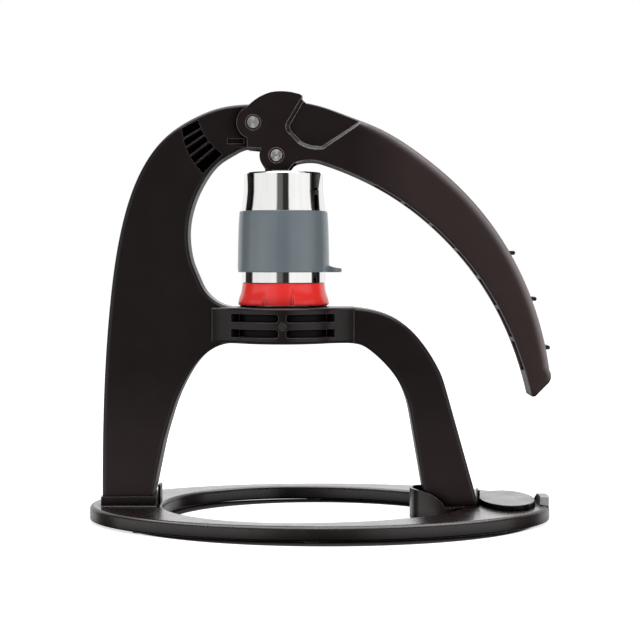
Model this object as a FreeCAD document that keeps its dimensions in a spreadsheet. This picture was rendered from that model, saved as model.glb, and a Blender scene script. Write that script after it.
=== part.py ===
import FreeCAD, Part
import Sketcher
import math
import os

# Handheld manual espresso maker: an oval base ring, a C-shaped moulded stand, a brew head that drops
# into the round collar of its bridge, and a long lever that presses the piston down.
# Millimetres. +X runs to the tip of the lever, +Z up, and the origin is on the table under the middle
# of the base ring.

SIZES = {
    # base ring
    "base_length": 299.0,
    "base_depth": 188.0,
    "base_lift": 1.4,
    "ring_height": 9.0,
    "opening_centre": -17.0,
    "ring_rear_width": 47.5,
    "opening_front": 111.0,
    "ring_side_width": 16.0,
    "ring_rounding": 2.5,
    "ring_underside_rounding": 1.0,
    "pedestal_fillet": 1.2,
    # rubber feet and base screws
    "foot_diameter": 8.5,
    "foot_depth": 1.2,
    "foot_spread_x": 112.0,
    "foot_spread_y": 52.0,
    "foot_middle_x": -5.0,
    "screw_diameter": 4.0,
    "screw_head_diameter": 7.6,
    "screw_head_height": 2.4,
    "screw_grip": 9.0,
    # pedestal of the rear post
    "pedestal_back": 140.5,
    "pedestal_length": 35.5,
    "pedestal_height": 6.5,
    "pedestal_margin": 1.2,
    "ear_thickness": 1.8,
    "ear_width": 12.0,
    "post_ear_height": 12.5,
    "leg_ear_height": 9.0,
    # half-round cup round the foot of the leg
    "cup_centre_x": 80.0,
    "cup_radius": 21.3,
    "cup_wall": 1.8,
    "cup_rise": 10.4,
    # oval pad at the front end of the ring and the wall round it
    "pad_inset": 27.5,
    "pad_length": 36.0,
    "pad_depth": 69.0,
    "pad_proud": 3.4,
    "pad_sunk": 2.0,
    "pad_gap": 0.3,
    "end_wall_thickness": 6.0,
    "end_wall_width": 30.0,
    "end_wall_height": 5.0,
    # stand
    "arm_thickness": 27.0,
    "stand_thickness": 32.0,
    "stand_edge": 2.5,
    "post_back": 139.9,
    "post_foot_width": 32.3,
    "bridge_top": 138.6,
    "bridge_height": 23.0,
    "lean_top": 188.0,
    "arch_foot_rise": 15.5,
    "arch_foot_lean": 67.7,
    "leg_front": 102.5,
    "leg_foot_width": 33.9,
    "tongue_radius": 12.0,
    "tongue_drop": 15.6,
    "tongue_toe": 4.6,
    # vents in the shoulder of the arch
    "vent_web": 6.0,
    "vent_rib": 1.1,
    "latch_depth": 1.0,
    # collar
    "collar_radius": 36.0,
    "collar_blend": 24.0,
    "collar_rounding": 2.0,
    "collar_slot_rounding": 2.0,
    "seat_ring_outer": 28.2,
    "seat_ring_inner": 25.0,
    "seat_ring_height": 19.9,
    "seat_ring_proud": 0.9,
    "collar_slot_depth": 4.0,
    "collar_slot_height": 5.3,
    "collar_slot_rise": 4.0,
    "collar_slot_rib": 4.8,
    "collar_slot_reach": 31.5,
    "collar_screw_head": 4.9,
    "collar_screw_shank": 2.9,
    # lever bearing
    "pivot_x": -42.4,
    "pivot_z": 256.5,
    "crank_x": 14.75,
    "crank_z": -20.9,
    "pin_diameter": 8.0,
    "bush_wall": 1.6,
    "bearing_clearance": 0.05,
    "side_clearance": 0.4,
    "pin_inset": 0.2,
    "pin_chamfer": 0.5,
    "pin_sink_diameter": 9.8,
    "pin_sink_depth": 0.8,
    "pin_mark_diameter": 2.4,
    "pin_mark_depth": 0.6,
    # lever
    "lever_reach": 190.7,
    "fork_width": 35.0,
    "tip_width": 29.0,
    "cheek_radius": 10.6,
    "boss_radius": 10.8,
    "boss_flat": 9.3,
    "web_clearance": 3.2,
    "foot_clearance": 4.4,
    "web_angle": 35.0,
    "panel_depth": 2.5,
    "channel_width": 19.0,
    "channel_roof": 4.5,
    "channel_rib": 2.4,
    "lever_rounding": 4.5,
    "stud_width": 15.0,
    "stud_proud": 3.4,
    "stud_sunk": 2.0,
    "stud_height": 2.6,
    # press foot
    "press_radius": 8.8,
    "press_drop": 9.7,
    "press_length": 14.6,
    # brew head
    "brew_axis_x": -23.5,
    "brew_bore": 20.0,
    "rim_z": 225.2,
    "cylinder_top_radius": 25.3,
    "cylinder_radius": 26.9,
    "cylinder_taper_z": 201.5,
    "cylinder_neck_z": 213.5,
    "cylinder_shoulder_z": 154.4,
    "cylinder_base_z": 147.5,
    "spigot_radius": 25.0,
    "head_gap": 0.3,
    "sleeve_wall": 2.7,
    "sleeve_lip_wall": 1.5,
    "sleeve_top_z": 200.5,
    "sleeve_base_z": 161.0,
    "tab_length": 8.2,
    "tab_width": 13.0,
    "tab_thickness": 2.6,
    "collar_ring_radius": 27.4,
    "collar_ring_flare": 29.7,
    "collar_ring_lip": 1.7,
    "holder_radius": 23.8,
    "holder_flange": 2.6,
    "holder_wall": 1.4,
    "holder_base_z": 118.0,
    "outlet_radius": 4.0,
    "basket_wall": 0.6,
    "basket_depth": 13.0,
    "hole_diameter": 1.6,
    "hole_pitch": 5.4,
    "screen_thickness": 1.2,
    "part_gap": 0.1,
    # piston
    "piston_height": 16.0,
    "piston_lift": 1.8,
    "seal_section": 2.4,
    "seal_inset": 3.0,
    "stem_radius": 5.4,
    "stem_cap_radius": 6.4,
    "stem_cap_height": 4.0,
    "press_gap": 2.0,
}


class Size(float):
    """A length that remembers the sheet expression it comes from."""

    def __new__(cls, value, text):
        made = float.__new__(cls, value)
        made.text = text
        return made

    def __add__(self, other):
        return Size(float(self) + float(other), "(%s + %s)" % (self.text, text_of(other)))

    def __radd__(self, other):
        return Size(float(other) + float(self), "(%s + %s)" % (text_of(other), self.text))

    def __sub__(self, other):
        return Size(float(self) - float(other), "(%s - %s)" % (self.text, text_of(other)))

    def __rsub__(self, other):
        return Size(float(other) - float(self), "(%s - %s)" % (text_of(other), self.text))

    def __mul__(self, other):
        return Size(float(self) * float(other), "(%s * %s)" % (self.text, text_of(other)))

    def __rmul__(self, other):
        return Size(float(other) * float(self), "(%s * %s)" % (text_of(other), self.text))

    def __truediv__(self, other):
        return Size(float(self) / float(other), "(%s / %s)" % (self.text, text_of(other)))

    def __neg__(self):
        return Size(-float(self), "(-1 * %s)" % self.text)


def text_of(value):
    return value.text if isinstance(value, Size) else "%.9f" % value


class Named:
    """The sizes of the sheet, by name."""


doc = FreeCAD.newDocument("EspressoMaker")
sheet = doc.addObject("Spreadsheet::Sheet", "Sizes")
for row, (name, value) in enumerate(SIZES.items(), start=1):
    sheet.set("A%d" % row, name)
    sheet.set("B%d" % row, str(value))
    sheet.setAlias("B%d" % row, name)
doc.recompute()
s = Named()
for name in SIZES:
    setattr(s, name, Size(float(getattr(sheet, name)), "Sizes." + name))

# Heights and widths that several pieces share
ring_top = s.base_lift + s.ring_height
opening_depth = s.base_depth - 2 * s.ring_side_width
opening_rear = s.base_length / 2 - s.ring_rear_width + s.opening_centre
foot_middle_y = s.base_depth / 2 - s.ring_side_width / 2
pad_centre_x = s.base_length / 2 - s.pad_inset
post_foot_z = ring_top + s.pedestal_height
bridge_base = s.bridge_top - s.bridge_height
seat_ring_top = s.bridge_top + s.seat_ring_proud
seat_ring_base = seat_ring_top - s.seat_ring_height
head_base = seat_ring_top + s.head_gap
bush_radius = s.pin_diameter / 2 + s.bearing_clearance + s.bush_wall
fork_gap = s.arm_thickness + 2 * s.side_clearance
press_foot_z = s.pivot_z + s.crank_z - s.press_drop
piston_base = s.cylinder_base_z + s.screen_thickness + s.piston_lift
piston_top = piston_base + s.piston_height
stem_top = press_foot_z - s.press_gap
PARTS = []


def vec(x, y, z=0.0):
    return FreeCAD.Vector(float(x), float(y), float(z))


def new_body(label):
    made = doc.addObject("PartDesign::Body", label)
    made.Label = label
    PARTS.append(made)
    return made


def origin_of(body, role):
    return [item for item in body.Origin.OriginFeatures if item.Role == role][0]


def new_sketch(body, role, curves, offset=0.0):
    """A sketch on one of the body's own origin planes, moved along the plane's normal by offset."""
    made = body.newObject("Sketcher::SketchObject", "Sketch")
    made.AttachmentSupport = [(origin_of(body, role), "")]
    made.MapMode = "FlatFace"
    made.setExpression(".AttachmentOffset.Base.z", text_of(offset))
    for curve in curves:
        made.addGeometry(curve, False)
    return made


def corner_sketch(body, role, corners, offset=0.0):
    """A closed outline of straight lines, each corner tied to its two sheet expressions."""
    lines = []
    for index, (x, y) in enumerate(corners):
        next_x, next_y = corners[(index + 1) % len(corners)]
        lines.append(Part.LineSegment(vec(x, y), vec(next_x, next_y)))
    made = new_sketch(body, role, lines, offset)
    for index in range(len(corners)):
        made.addConstraint(Sketcher.Constraint("Coincident", index, 2, (index + 1) % len(corners), 1))
    for index, (x, y) in enumerate(corners):
        for kind, place in (("DistanceX", x), ("DistanceY", y)):
            number = made.addConstraint(Sketcher.Constraint(kind, -1, 1, index, 1, float(place)))
            made.setExpression("Constraints[%d]" % number, text_of(place))
    return made


def circle_sketch(body, role, circles, offset=0.0):
    """Circles given as centre and radius, tied to their sheet expressions."""
    curves = [Part.Circle(vec(x, y), vec(0, 0, 1), float(radius)) for x, y, radius in circles]
    made = new_sketch(body, role, curves, offset)
    for index, (x, y, radius) in enumerate(circles):
        ties = [
            (Sketcher.Constraint("DistanceX", -1, 1, index, 3, float(x)), x),
            (Sketcher.Constraint("DistanceY", -1, 1, index, 3, float(y)), y),
            (Sketcher.Constraint("Radius", index, float(radius)), radius),
        ]
        for constraint, size in ties:
            number = made.addConstraint(constraint)
            made.setExpression("Constraints[%d]" % number, text_of(size))
    return made


class Path:
    """A closed outline of lines, arcs and smooth curves, drawn from point to point."""

    def __init__(self, x, y):
        self.first = vec(x, y)
        self.here = self.first
        self.curves = []

    def line(self, x, y):
        end = vec(x, y)
        self.curves.append(Part.LineSegment(self.here, end))
        self.here = end

    def arc(self, middle_x, middle_y, x, y):
        end = vec(x, y)
        self.curves.append(Part.Arc(self.here, vec(middle_x, middle_y), end))
        self.here = end

    def smooth(self, points, start=None, end=None):
        """A curve through the points, leaving along start and arriving along end where they are given."""
        places = [self.here] + [vec(x, y) for x, y in points]
        curve = Part.BSplineCurve()
        if start is not None:
            curve.interpolate(Points=places, InitialTangent=start, FinalTangent=end)
        else:
            curve.interpolate(places)
        self.curves.append(curve)
        self.here = places[-1]

    def close(self):
        if self.here.distanceToPoint(self.first) > 1e-6:
            self.line(self.first.x, self.first.y)
        return self.curves


def pad(body, profile, length, symmetric=False, down=False):
    made = body.newObject("PartDesign::Pad", "Pad")
    made.Profile = profile
    made.setExpression("Length", text_of(length))
    if symmetric:
        made.SideType = "Symmetric"
    made.Reversed = down
    return made


def cut(body, profile, length=None, symmetric=False, along_normal=False, taper=0.0):
    """Removes the profile: through everything, or to a depth, against the sketch's normal or along it."""
    made = body.newObject("PartDesign::Pocket", "Pocket")
    made.Profile = profile
    if length is None:
        made.Type = "ThroughAll"
    else:
        made.setExpression("Length", text_of(length))
    if symmetric:
        made.SideType = "Symmetric"
    made.Reversed = along_normal
    made.TaperAngle = taper
    return made


def revolve(body, profile):
    made = body.newObject("PartDesign::Revolution", "Revolution")
    made.Profile = profile
    made.ReferenceAxis = (origin_of(body, "Z_Axis"), [""])
    made.Angle = 360.0
    return made


def pick_edges(feature, wanted):
    return ["Edge%d" % number for number, edge in enumerate(feature.Shape.Edges, start=1) if wanted(edge)]


def round_edges(body, feature, radius, wanted):
    doc.recompute()
    names = pick_edges(feature, wanted)
    made = body.newObject("PartDesign::Fillet", "Fillet")
    made.Base = (feature, names)
    made.setExpression("Radius", text_of(radius))
    return made


def chamfer_edges(body, feature, size, wanted):
    doc.recompute()
    names = pick_edges(feature, wanted)
    made = body.newObject("PartDesign::Chamfer", "Chamfer")
    made.Base = (feature, names)
    made.setExpression("Size", text_of(size))
    return made


def place(item, x=0.0, y=0.0, z=0.0):
    item.setExpression(".Placement.Base.x", text_of(x))
    item.setExpression(".Placement.Base.y", text_of(y))
    item.setExpression(".Placement.Base.z", text_of(z))


def group(label, members):
    """Separate like solids that share one node."""
    made = doc.addObject("Part::Compound", label)
    made.Label = label
    made.Links = members
    PARTS.append(made)
    return made


def at_height(edge, z):
    box = edge.BoundBox
    return abs(box.ZMin - z) < 0.01 and abs(box.ZMax - z) < 0.01


def turned(label, corners, axis_x=None):
    """A turned piece: its half section revolved about the upright axis."""
    body = new_body(label)
    body.Tip = revolve(body, corner_sketch(body, "XZ_Plane", corners))
    if axis_x is not None:
        place(body, x=axis_x)
    return body


def ellipse_arc(centre_x, half_x, half_y, start, end):
    """Part of an ellipse about (centre_x, 0), between two angles in degrees."""
    turned_round = half_y > half_x
    major = float(max(half_x, half_y))
    minor = float(min(half_x, half_y))
    ellipse = Part.Ellipse(vec(centre_x, 0), major, minor)
    if turned_round:
        ellipse = Part.Ellipse(vec(centre_x, major), vec(centre_x + minor, 0), vec(centre_x, 0))
        start -= 90.0
        end -= 90.0
    return Part.ArcOfEllipse(ellipse, math.radians(start), math.radians(end))


def opening_outline():
    half_y = opening_depth / 2
    front = ellipse_arc(s.opening_centre, s.opening_front, half_y, -90.0, 90.0)
    rear = ellipse_arc(s.opening_centre, opening_rear, half_y, 90.0, 270.0)
    return [front, rear]


def oval_outline(centre_x, length, depth):
    half_x = length / 2
    half_y = depth / 2
    return [
        ellipse_arc(centre_x, half_x, half_y, -90.0, 90.0),
        ellipse_arc(centre_x, half_x, half_y, 90.0, 270.0),
    ]


FEET = [
    (s.foot_middle_x, foot_middle_y),
    (s.foot_middle_x, -foot_middle_y),
    (s.foot_spread_x, s.foot_spread_y),
    (s.foot_spread_x, -s.foot_spread_y),
    (-s.foot_spread_x, s.foot_spread_y),
    (-s.foot_spread_x, -s.foot_spread_y),
]
post_screw_x = -s.post_back + s.post_foot_width / 2
leg_screw_x = s.leg_front - s.leg_foot_width / 2
SCREWS = [
    (post_screw_x, s.screw_head_diameter),
    (post_screw_x, -s.screw_head_diameter),
    (leg_screw_x, s.screw_head_diameter),
    (leg_screw_x, -s.screw_head_diameter),
]


def base_ring():
    body = new_body("base_ring")
    outer = oval_outline(0.0, s.base_length, s.base_depth)
    ring = pad(body, new_sketch(body, "XY_Plane", outer + opening_outline(), s.base_lift), s.ring_height)
    ring = round_edges(body, ring, s.ring_rounding, lambda edge: at_height(edge, ring_top))
    round_edges(body, ring, s.ring_underside_rounding, lambda edge: at_height(edge, s.base_lift))

    # floor of the cup, reaching into the opening, and its half-round wall with the sloping rim
    pad(body, circle_sketch(body, "XY_Plane", [(s.cup_centre_x, 0.0, s.cup_radius)], s.base_lift), s.ring_height)
    inner = s.cup_radius - s.cup_wall
    wall = Path(s.cup_centre_x, s.cup_radius)
    wall.arc(s.cup_centre_x - s.cup_radius, 0, s.cup_centre_x, -s.cup_radius)
    wall.line(s.cup_centre_x, -inner)
    wall.arc(s.cup_centre_x - inner, 0, s.cup_centre_x, inner)
    pad(body, new_sketch(body, "XY_Plane", wall.close(), ring_top), s.cup_rise)
    rim = Path(s.cup_centre_x + 1, ring_top + s.cup_rise + 1)
    rim.line(s.cup_centre_x - s.cup_radius - 1, ring_top + s.cup_rise + 1)
    rim.line(s.cup_centre_x - s.cup_radius - 1, ring_top + s.cup_rise)
    shares = [(-0.73, 0.96), (-0.385, 0.77), (-0.18, 0.49), (0.0, 0.03)]
    curve = [(s.cup_centre_x + s.cup_radius * x, ring_top + s.cup_rise * z) for x, z in shares]
    rim.smooth(curve, start=vec(1, 0), end=vec(0.35, -1))
    rim.line(s.cup_centre_x + 1, ring_top + s.cup_rise * 0.03)
    cut(body, new_sketch(body, "XZ_Plane", rim.close()), 3 * s.cup_radius, symmetric=True)

    # pedestal under the rear post, with the short locating walls behind post and leg
    half = s.stand_thickness / 2 + s.pedestal_margin
    back = -s.pedestal_back
    front = s.pedestal_length - s.pedestal_back
    plinth = [(back, -half), (front, -half), (front, half), (back, half)]
    block = pad(body, corner_sketch(body, "XY_Plane", plinth, ring_top), s.pedestal_height)

    def beside_pedestal(edge):
        box = edge.BoundBox
        along = box.XMax - box.XMin > float(s.pedestal_length) / 2 and box.YMax - box.YMin < 0.01
        return at_height(edge, ring_top) and along and abs(abs(box.YMin) - float(half)) < 0.01

    round_edges(body, block, s.pedestal_fillet, beside_pedestal)
    ear = s.ear_width / 2
    post_ear = [(front, -ear), (front + s.ear_thickness, -ear), (front + s.ear_thickness, ear), (front, ear)]
    pad(body, corner_sketch(body, "XY_Plane", post_ear, ring_top), s.post_ear_height)
    leg_back = s.leg_front + s.pad_gap
    leg_end = leg_back + s.ear_thickness
    leg_ear = [(leg_back, -ear), (leg_end, -ear), (leg_end, ear), (leg_back, ear)]
    pad(body, corner_sketch(body, "XY_Plane", leg_ear, ring_top), s.leg_ear_height)

    # wall round the front end of the ring, its ends sloping down to the rim
    end_x = s.base_length / 2
    half_width = s.end_wall_width / 2
    reach = half_width / (s.base_depth / 2)
    inset = s.end_wall_thickness
    angle = math.degrees(math.asin(min(0.95, reach)))
    outer_arc = ellipse_arc(0.0, end_x - 0.4, s.base_depth / 2, -angle, angle)
    inner_arc = ellipse_arc(0.0, end_x - inset, s.base_depth / 2 - inset, -angle, angle)
    ends = [
        Part.LineSegment(outer_arc.StartPoint, inner_arc.StartPoint),
        Part.LineSegment(outer_arc.EndPoint, inner_arc.EndPoint),
    ]
    curves = [outer_arc, inner_arc] + ends
    pad(body, new_sketch(body, "XY_Plane", curves, ring_top - s.ring_rounding), s.end_wall_height + s.ring_rounding)
    top = ring_top + s.end_wall_height
    for side in (1.0, -1.0):
        slope = [
            (side * (half_width + 1), ring_top - 0.5),
            (side * (half_width - 6), top + 0.01),
            (side * (half_width - 6), top + 1),
            (side * (half_width + 2), top + 1),
            (side * (half_width + 2), ring_top - 0.5),
        ]
        cut(body, corner_sketch(body, "YZ_Plane", slope, s.base_length / 2 - 2 * inset), along_normal=True)

    # recess that the oval pad sits in
    gap = 2 * s.pad_gap
    seat = oval_outline(pad_centre_x, s.pad_length + gap, s.pad_depth + gap)
    cut(body, new_sketch(body, "XY_Plane", seat, ring_top), s.pad_sunk)
    cut(body, new_sketch(body, "XY_Plane", seat, ring_top), along_normal=True)

    # recesses for the rubber feet, and the screw holes with their counterbores
    feet = [(x, y, s.foot_diameter / 2) for x, y in FEET]
    cut(body, circle_sketch(body, "XY_Plane", feet, s.base_lift), s.foot_depth, along_normal=True)
    heads = [(x, y, s.screw_head_diameter / 2 + s.pad_gap) for x, y in SCREWS]
    sink = s.screw_head_height + 1
    cut(body, circle_sketch(body, "XY_Plane", heads, s.base_lift), sink, along_normal=True)
    shanks = [(x, y, s.screw_diameter / 2 + s.part_gap) for x, y in SCREWS]
    depth = s.ring_height + s.pedestal_height + 1
    body.Tip = cut(body, circle_sketch(body, "XY_Plane", shanks, s.base_lift), depth, along_normal=True)
    return body


def rubber_feet():
    feet = []
    for x, y in FEET:
        foot = doc.addObject("Part::Cylinder", "Foot")
        foot.setExpression("Radius", text_of(s.foot_diameter / 2))
        foot.setExpression("Height", text_of(s.base_lift + s.foot_depth))
        place(foot, x, y)
        feet.append(foot)
    group("rubber_feet", feet)


def base_screws():
    screws = []
    head_z = s.base_lift + 1
    for index, (x, y) in enumerate(SCREWS):
        seat_z = post_foot_z if index < 2 else ring_top
        head = doc.addObject("Part::Cylinder", "ScrewHead")
        head.setExpression("Radius", text_of(s.screw_head_diameter / 2))
        head.setExpression("Height", text_of(s.screw_head_height))
        place(head, x, y, head_z)
        shank = doc.addObject("Part::Cylinder", "ScrewShank")
        shank.setExpression("Radius", text_of(s.screw_diameter / 2))
        shank.setExpression("Height", text_of(seat_z + s.screw_grip - head_z))
        place(shank, x, y, head_z)
        screw = doc.addObject("Part::MultiFuse", "Screw")
        screw.Shapes = [head, shank]
        screws.append(screw)
    group("base_screws", screws)


def base_medallion():
    body = new_body("base_medallion")
    outline = oval_outline(pad_centre_x, s.pad_length, s.pad_depth)
    plate = pad(body, new_sketch(body, "XY_Plane", outline, ring_top - s.pad_sunk), s.pad_sunk + s.pad_proud)
    top = ring_top + s.pad_proud
    body.Tip = round_edges(body, plate, s.ring_rounding / 4, lambda edge: at_height(edge, top))


def stand_outline():
    """The C-shaped side view: rear post, arch and tongue, bridge, front leg and the opening below."""
    pivot_x = float(s.pivot_x)
    pivot_z = float(s.pivot_z)
    tongue = float(s.tongue_radius)
    bridge_top = float(s.bridge_top)
    path = Path(-s.post_back, post_foot_z)
    back = [
        (pivot_x - 92.1, pivot_z - 113.6),
        (pivot_x - 84.0, pivot_z - 63.6),
        (pivot_x - 69.9, pivot_z - 26.5),
        (pivot_x - 54.3, pivot_z - 7.3),
        (pivot_x - 36.0, pivot_z + 4.2),
        (pivot_x, pivot_z + tongue),
    ]
    path.smooth(back, start=vec(0, 1), end=vec(1, 0))

    # tongue: round the pivot, then down to the toe and back along the underside
    toe_x = float(s.tongue_toe)
    drop = float(s.tongue_drop)
    lean = math.atan2(-drop, toe_x) + math.acos(tongue / math.hypot(toe_x, drop))
    path.arc(pivot_x + tongue * math.cos(0.7), pivot_z + tongue * math.sin(0.7),
             pivot_x + tongue * math.cos(lean), pivot_z + tongue * math.sin(lean))
    path.line(pivot_x + toe_x, pivot_z - drop)

    # inside of the arch, down to the top of the bridge
    foot_rise = float(s.arch_foot_rise)
    arch = [
        (pivot_x - 12.4, pivot_z - 18.9),
        (pivot_x - 22.2, pivot_z - 25.1),
        (pivot_x - 31.7, pivot_z - 36.9),
        (pivot_x - 38.0, pivot_z - 49.9),
        (pivot_x - 41.4, pivot_z - 63.0),
        (pivot_x - 41.9, pivot_z - 76.1),
        (pivot_x - 39.6, pivot_z - 89.2),
        (pivot_x - 34.2, bridge_top + foot_rise),
    ]
    path.line(pivot_x - 4.2, pivot_z - drop)
    lean = math.radians(float(s.arch_foot_lean))
    path.smooth(arch, start=vec(-8, -1), end=vec(math.cos(lean), -math.sin(lean)) * 13)
    radius = foot_rise / (1 - math.cos(lean))
    floor_x = path.here.x + radius * math.sin(lean)
    middle = (floor_x - radius * math.sin(lean / 2), bridge_top + radius * (1 - math.cos(lean / 2)))
    path.arc(*middle, floor_x, bridge_top)

    # bridge top, shoulder and front of the leg
    front_x = float(s.leg_front)
    leg_foot = float(ring_top)
    shoulder = [
        (front_x - 70.8, bridge_top - 1.4),
        (front_x - 55.2, bridge_top - 6.6),
        (front_x - 39.5, bridge_top - 19.3),
        (front_x - 24.9, bridge_top - 42.0),
        (front_x - 20.0, bridge_top - 57.0),
    ]
    path.line(front_x - 86.5, bridge_top)
    path.smooth(shoulder, start=vec(1, 0), end=vec(20.0, -71.2))
    path.line(front_x, leg_foot)

    # foot of the leg, its back, the ceiling under the bridge and the front of the post
    back_x = front_x - float(s.leg_foot_width)
    ceiling = float(bridge_base)
    haunch = [
        (back_x - 15.8, ceiling - 28.7),
        (back_x - 21.2, ceiling - 19.9),
        (back_x - 37.6, ceiling - 3.8),
        (back_x - 54.6, ceiling),
    ]
    path.line(back_x, leg_foot)
    path.line(back_x - 10.2, ceiling - 46.6)
    path.smooth(haunch, start=vec(-10.2, 58.6), end=vec(-1, 0))
    foot_x = float(s.post_foot_width) - float(s.post_back)
    post_front = [
        (foot_x + 37.0, ceiling - 5.0),
        (foot_x + 29.2, ceiling - 12.2),
        (foot_x + 23.4, ceiling - 20.8),
        (foot_x + 19.2, ceiling - 28.7),
        (foot_x + 12.9, ceiling - 44.6),
        (foot_x + 8.2, ceiling - 60.5),
        (foot_x + 4.6, ceiling - 76.4),
    ]
    path.line(foot_x + 53.0, ceiling)
    path.smooth(post_front, start=vec(-16, 0), end=vec(-3.4, -16))
    path.line(foot_x, post_foot_z)
    return path.close()


def collar_outline(level):
    """Plan of the collar with its concave blends into the bridge, along +X and -X from the brew axis."""
    radius = float(s.collar_radius)
    blend = float(s.collar_blend)
    half = float(s.arm_thickness + (s.stand_thickness - s.arm_thickness) * level) / 2
    out = math.sqrt((radius + blend) ** 2 - (half + blend) ** 2)
    touch_x = out * radius / (radius + blend)
    touch_y = (half + blend) * radius / (radius + blend)
    bend = (vec(-out, -half - blend).normalize() + vec(0, -1)).normalize() * blend
    middle_x = out + bend.x
    middle_y = half + blend + bend.y
    axis = float(s.brew_axis_x)
    path = Path(axis + out, half)
    path.arc(axis + middle_x, middle_y, axis + touch_x, touch_y)
    path.arc(axis, radius, axis - touch_x, touch_y)
    path.arc(axis - middle_x, middle_y, axis - out, half)
    path.line(axis - out, -half)
    path.arc(axis - middle_x, -middle_y, axis - touch_x, -touch_y)
    path.arc(axis, -radius, axis + touch_x, -touch_y)
    path.arc(axis + middle_x, -middle_y, axis + out, -half)
    return path.close()


def vent_outlines():
    """Five pockets side by side between two arcs on the shoulder of the arch."""
    pivot = vec(s.pivot_x, s.pivot_z)
    inner = Part.Arc(pivot + vec(-35.6, 2.3), pivot + vec(-29.1, -10.8), pivot + vec(-19.3, -20.1))
    outer = Part.Arc(pivot + vec(-45.9, -3.1), pivot + vec(-42.1, -18.4), pivot + vec(-32.0, -32.8))
    shares = [0.22, 0.17, 0.18, 0.18, 0.25]
    half = float(s.vent_rib) / 2

    def along(curve, share, shift):
        first = curve.FirstParameter
        return curve.value(first + (curve.LastParameter - first) * (share + shift / curve.length()))

    outlines = []
    done = 0.0
    for share in shares:
        start, end = done, done + share
        done = end
        corners = [along(inner, start, half), along(outer, start, half),
                   along(outer, end, -half), along(inner, end, -half)]
        path = Path(corners[0].x, corners[0].y)
        for corner in corners[1:]:
            path.line(corner.x, corner.y)
        outlines += path.close()
    return outlines


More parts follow.
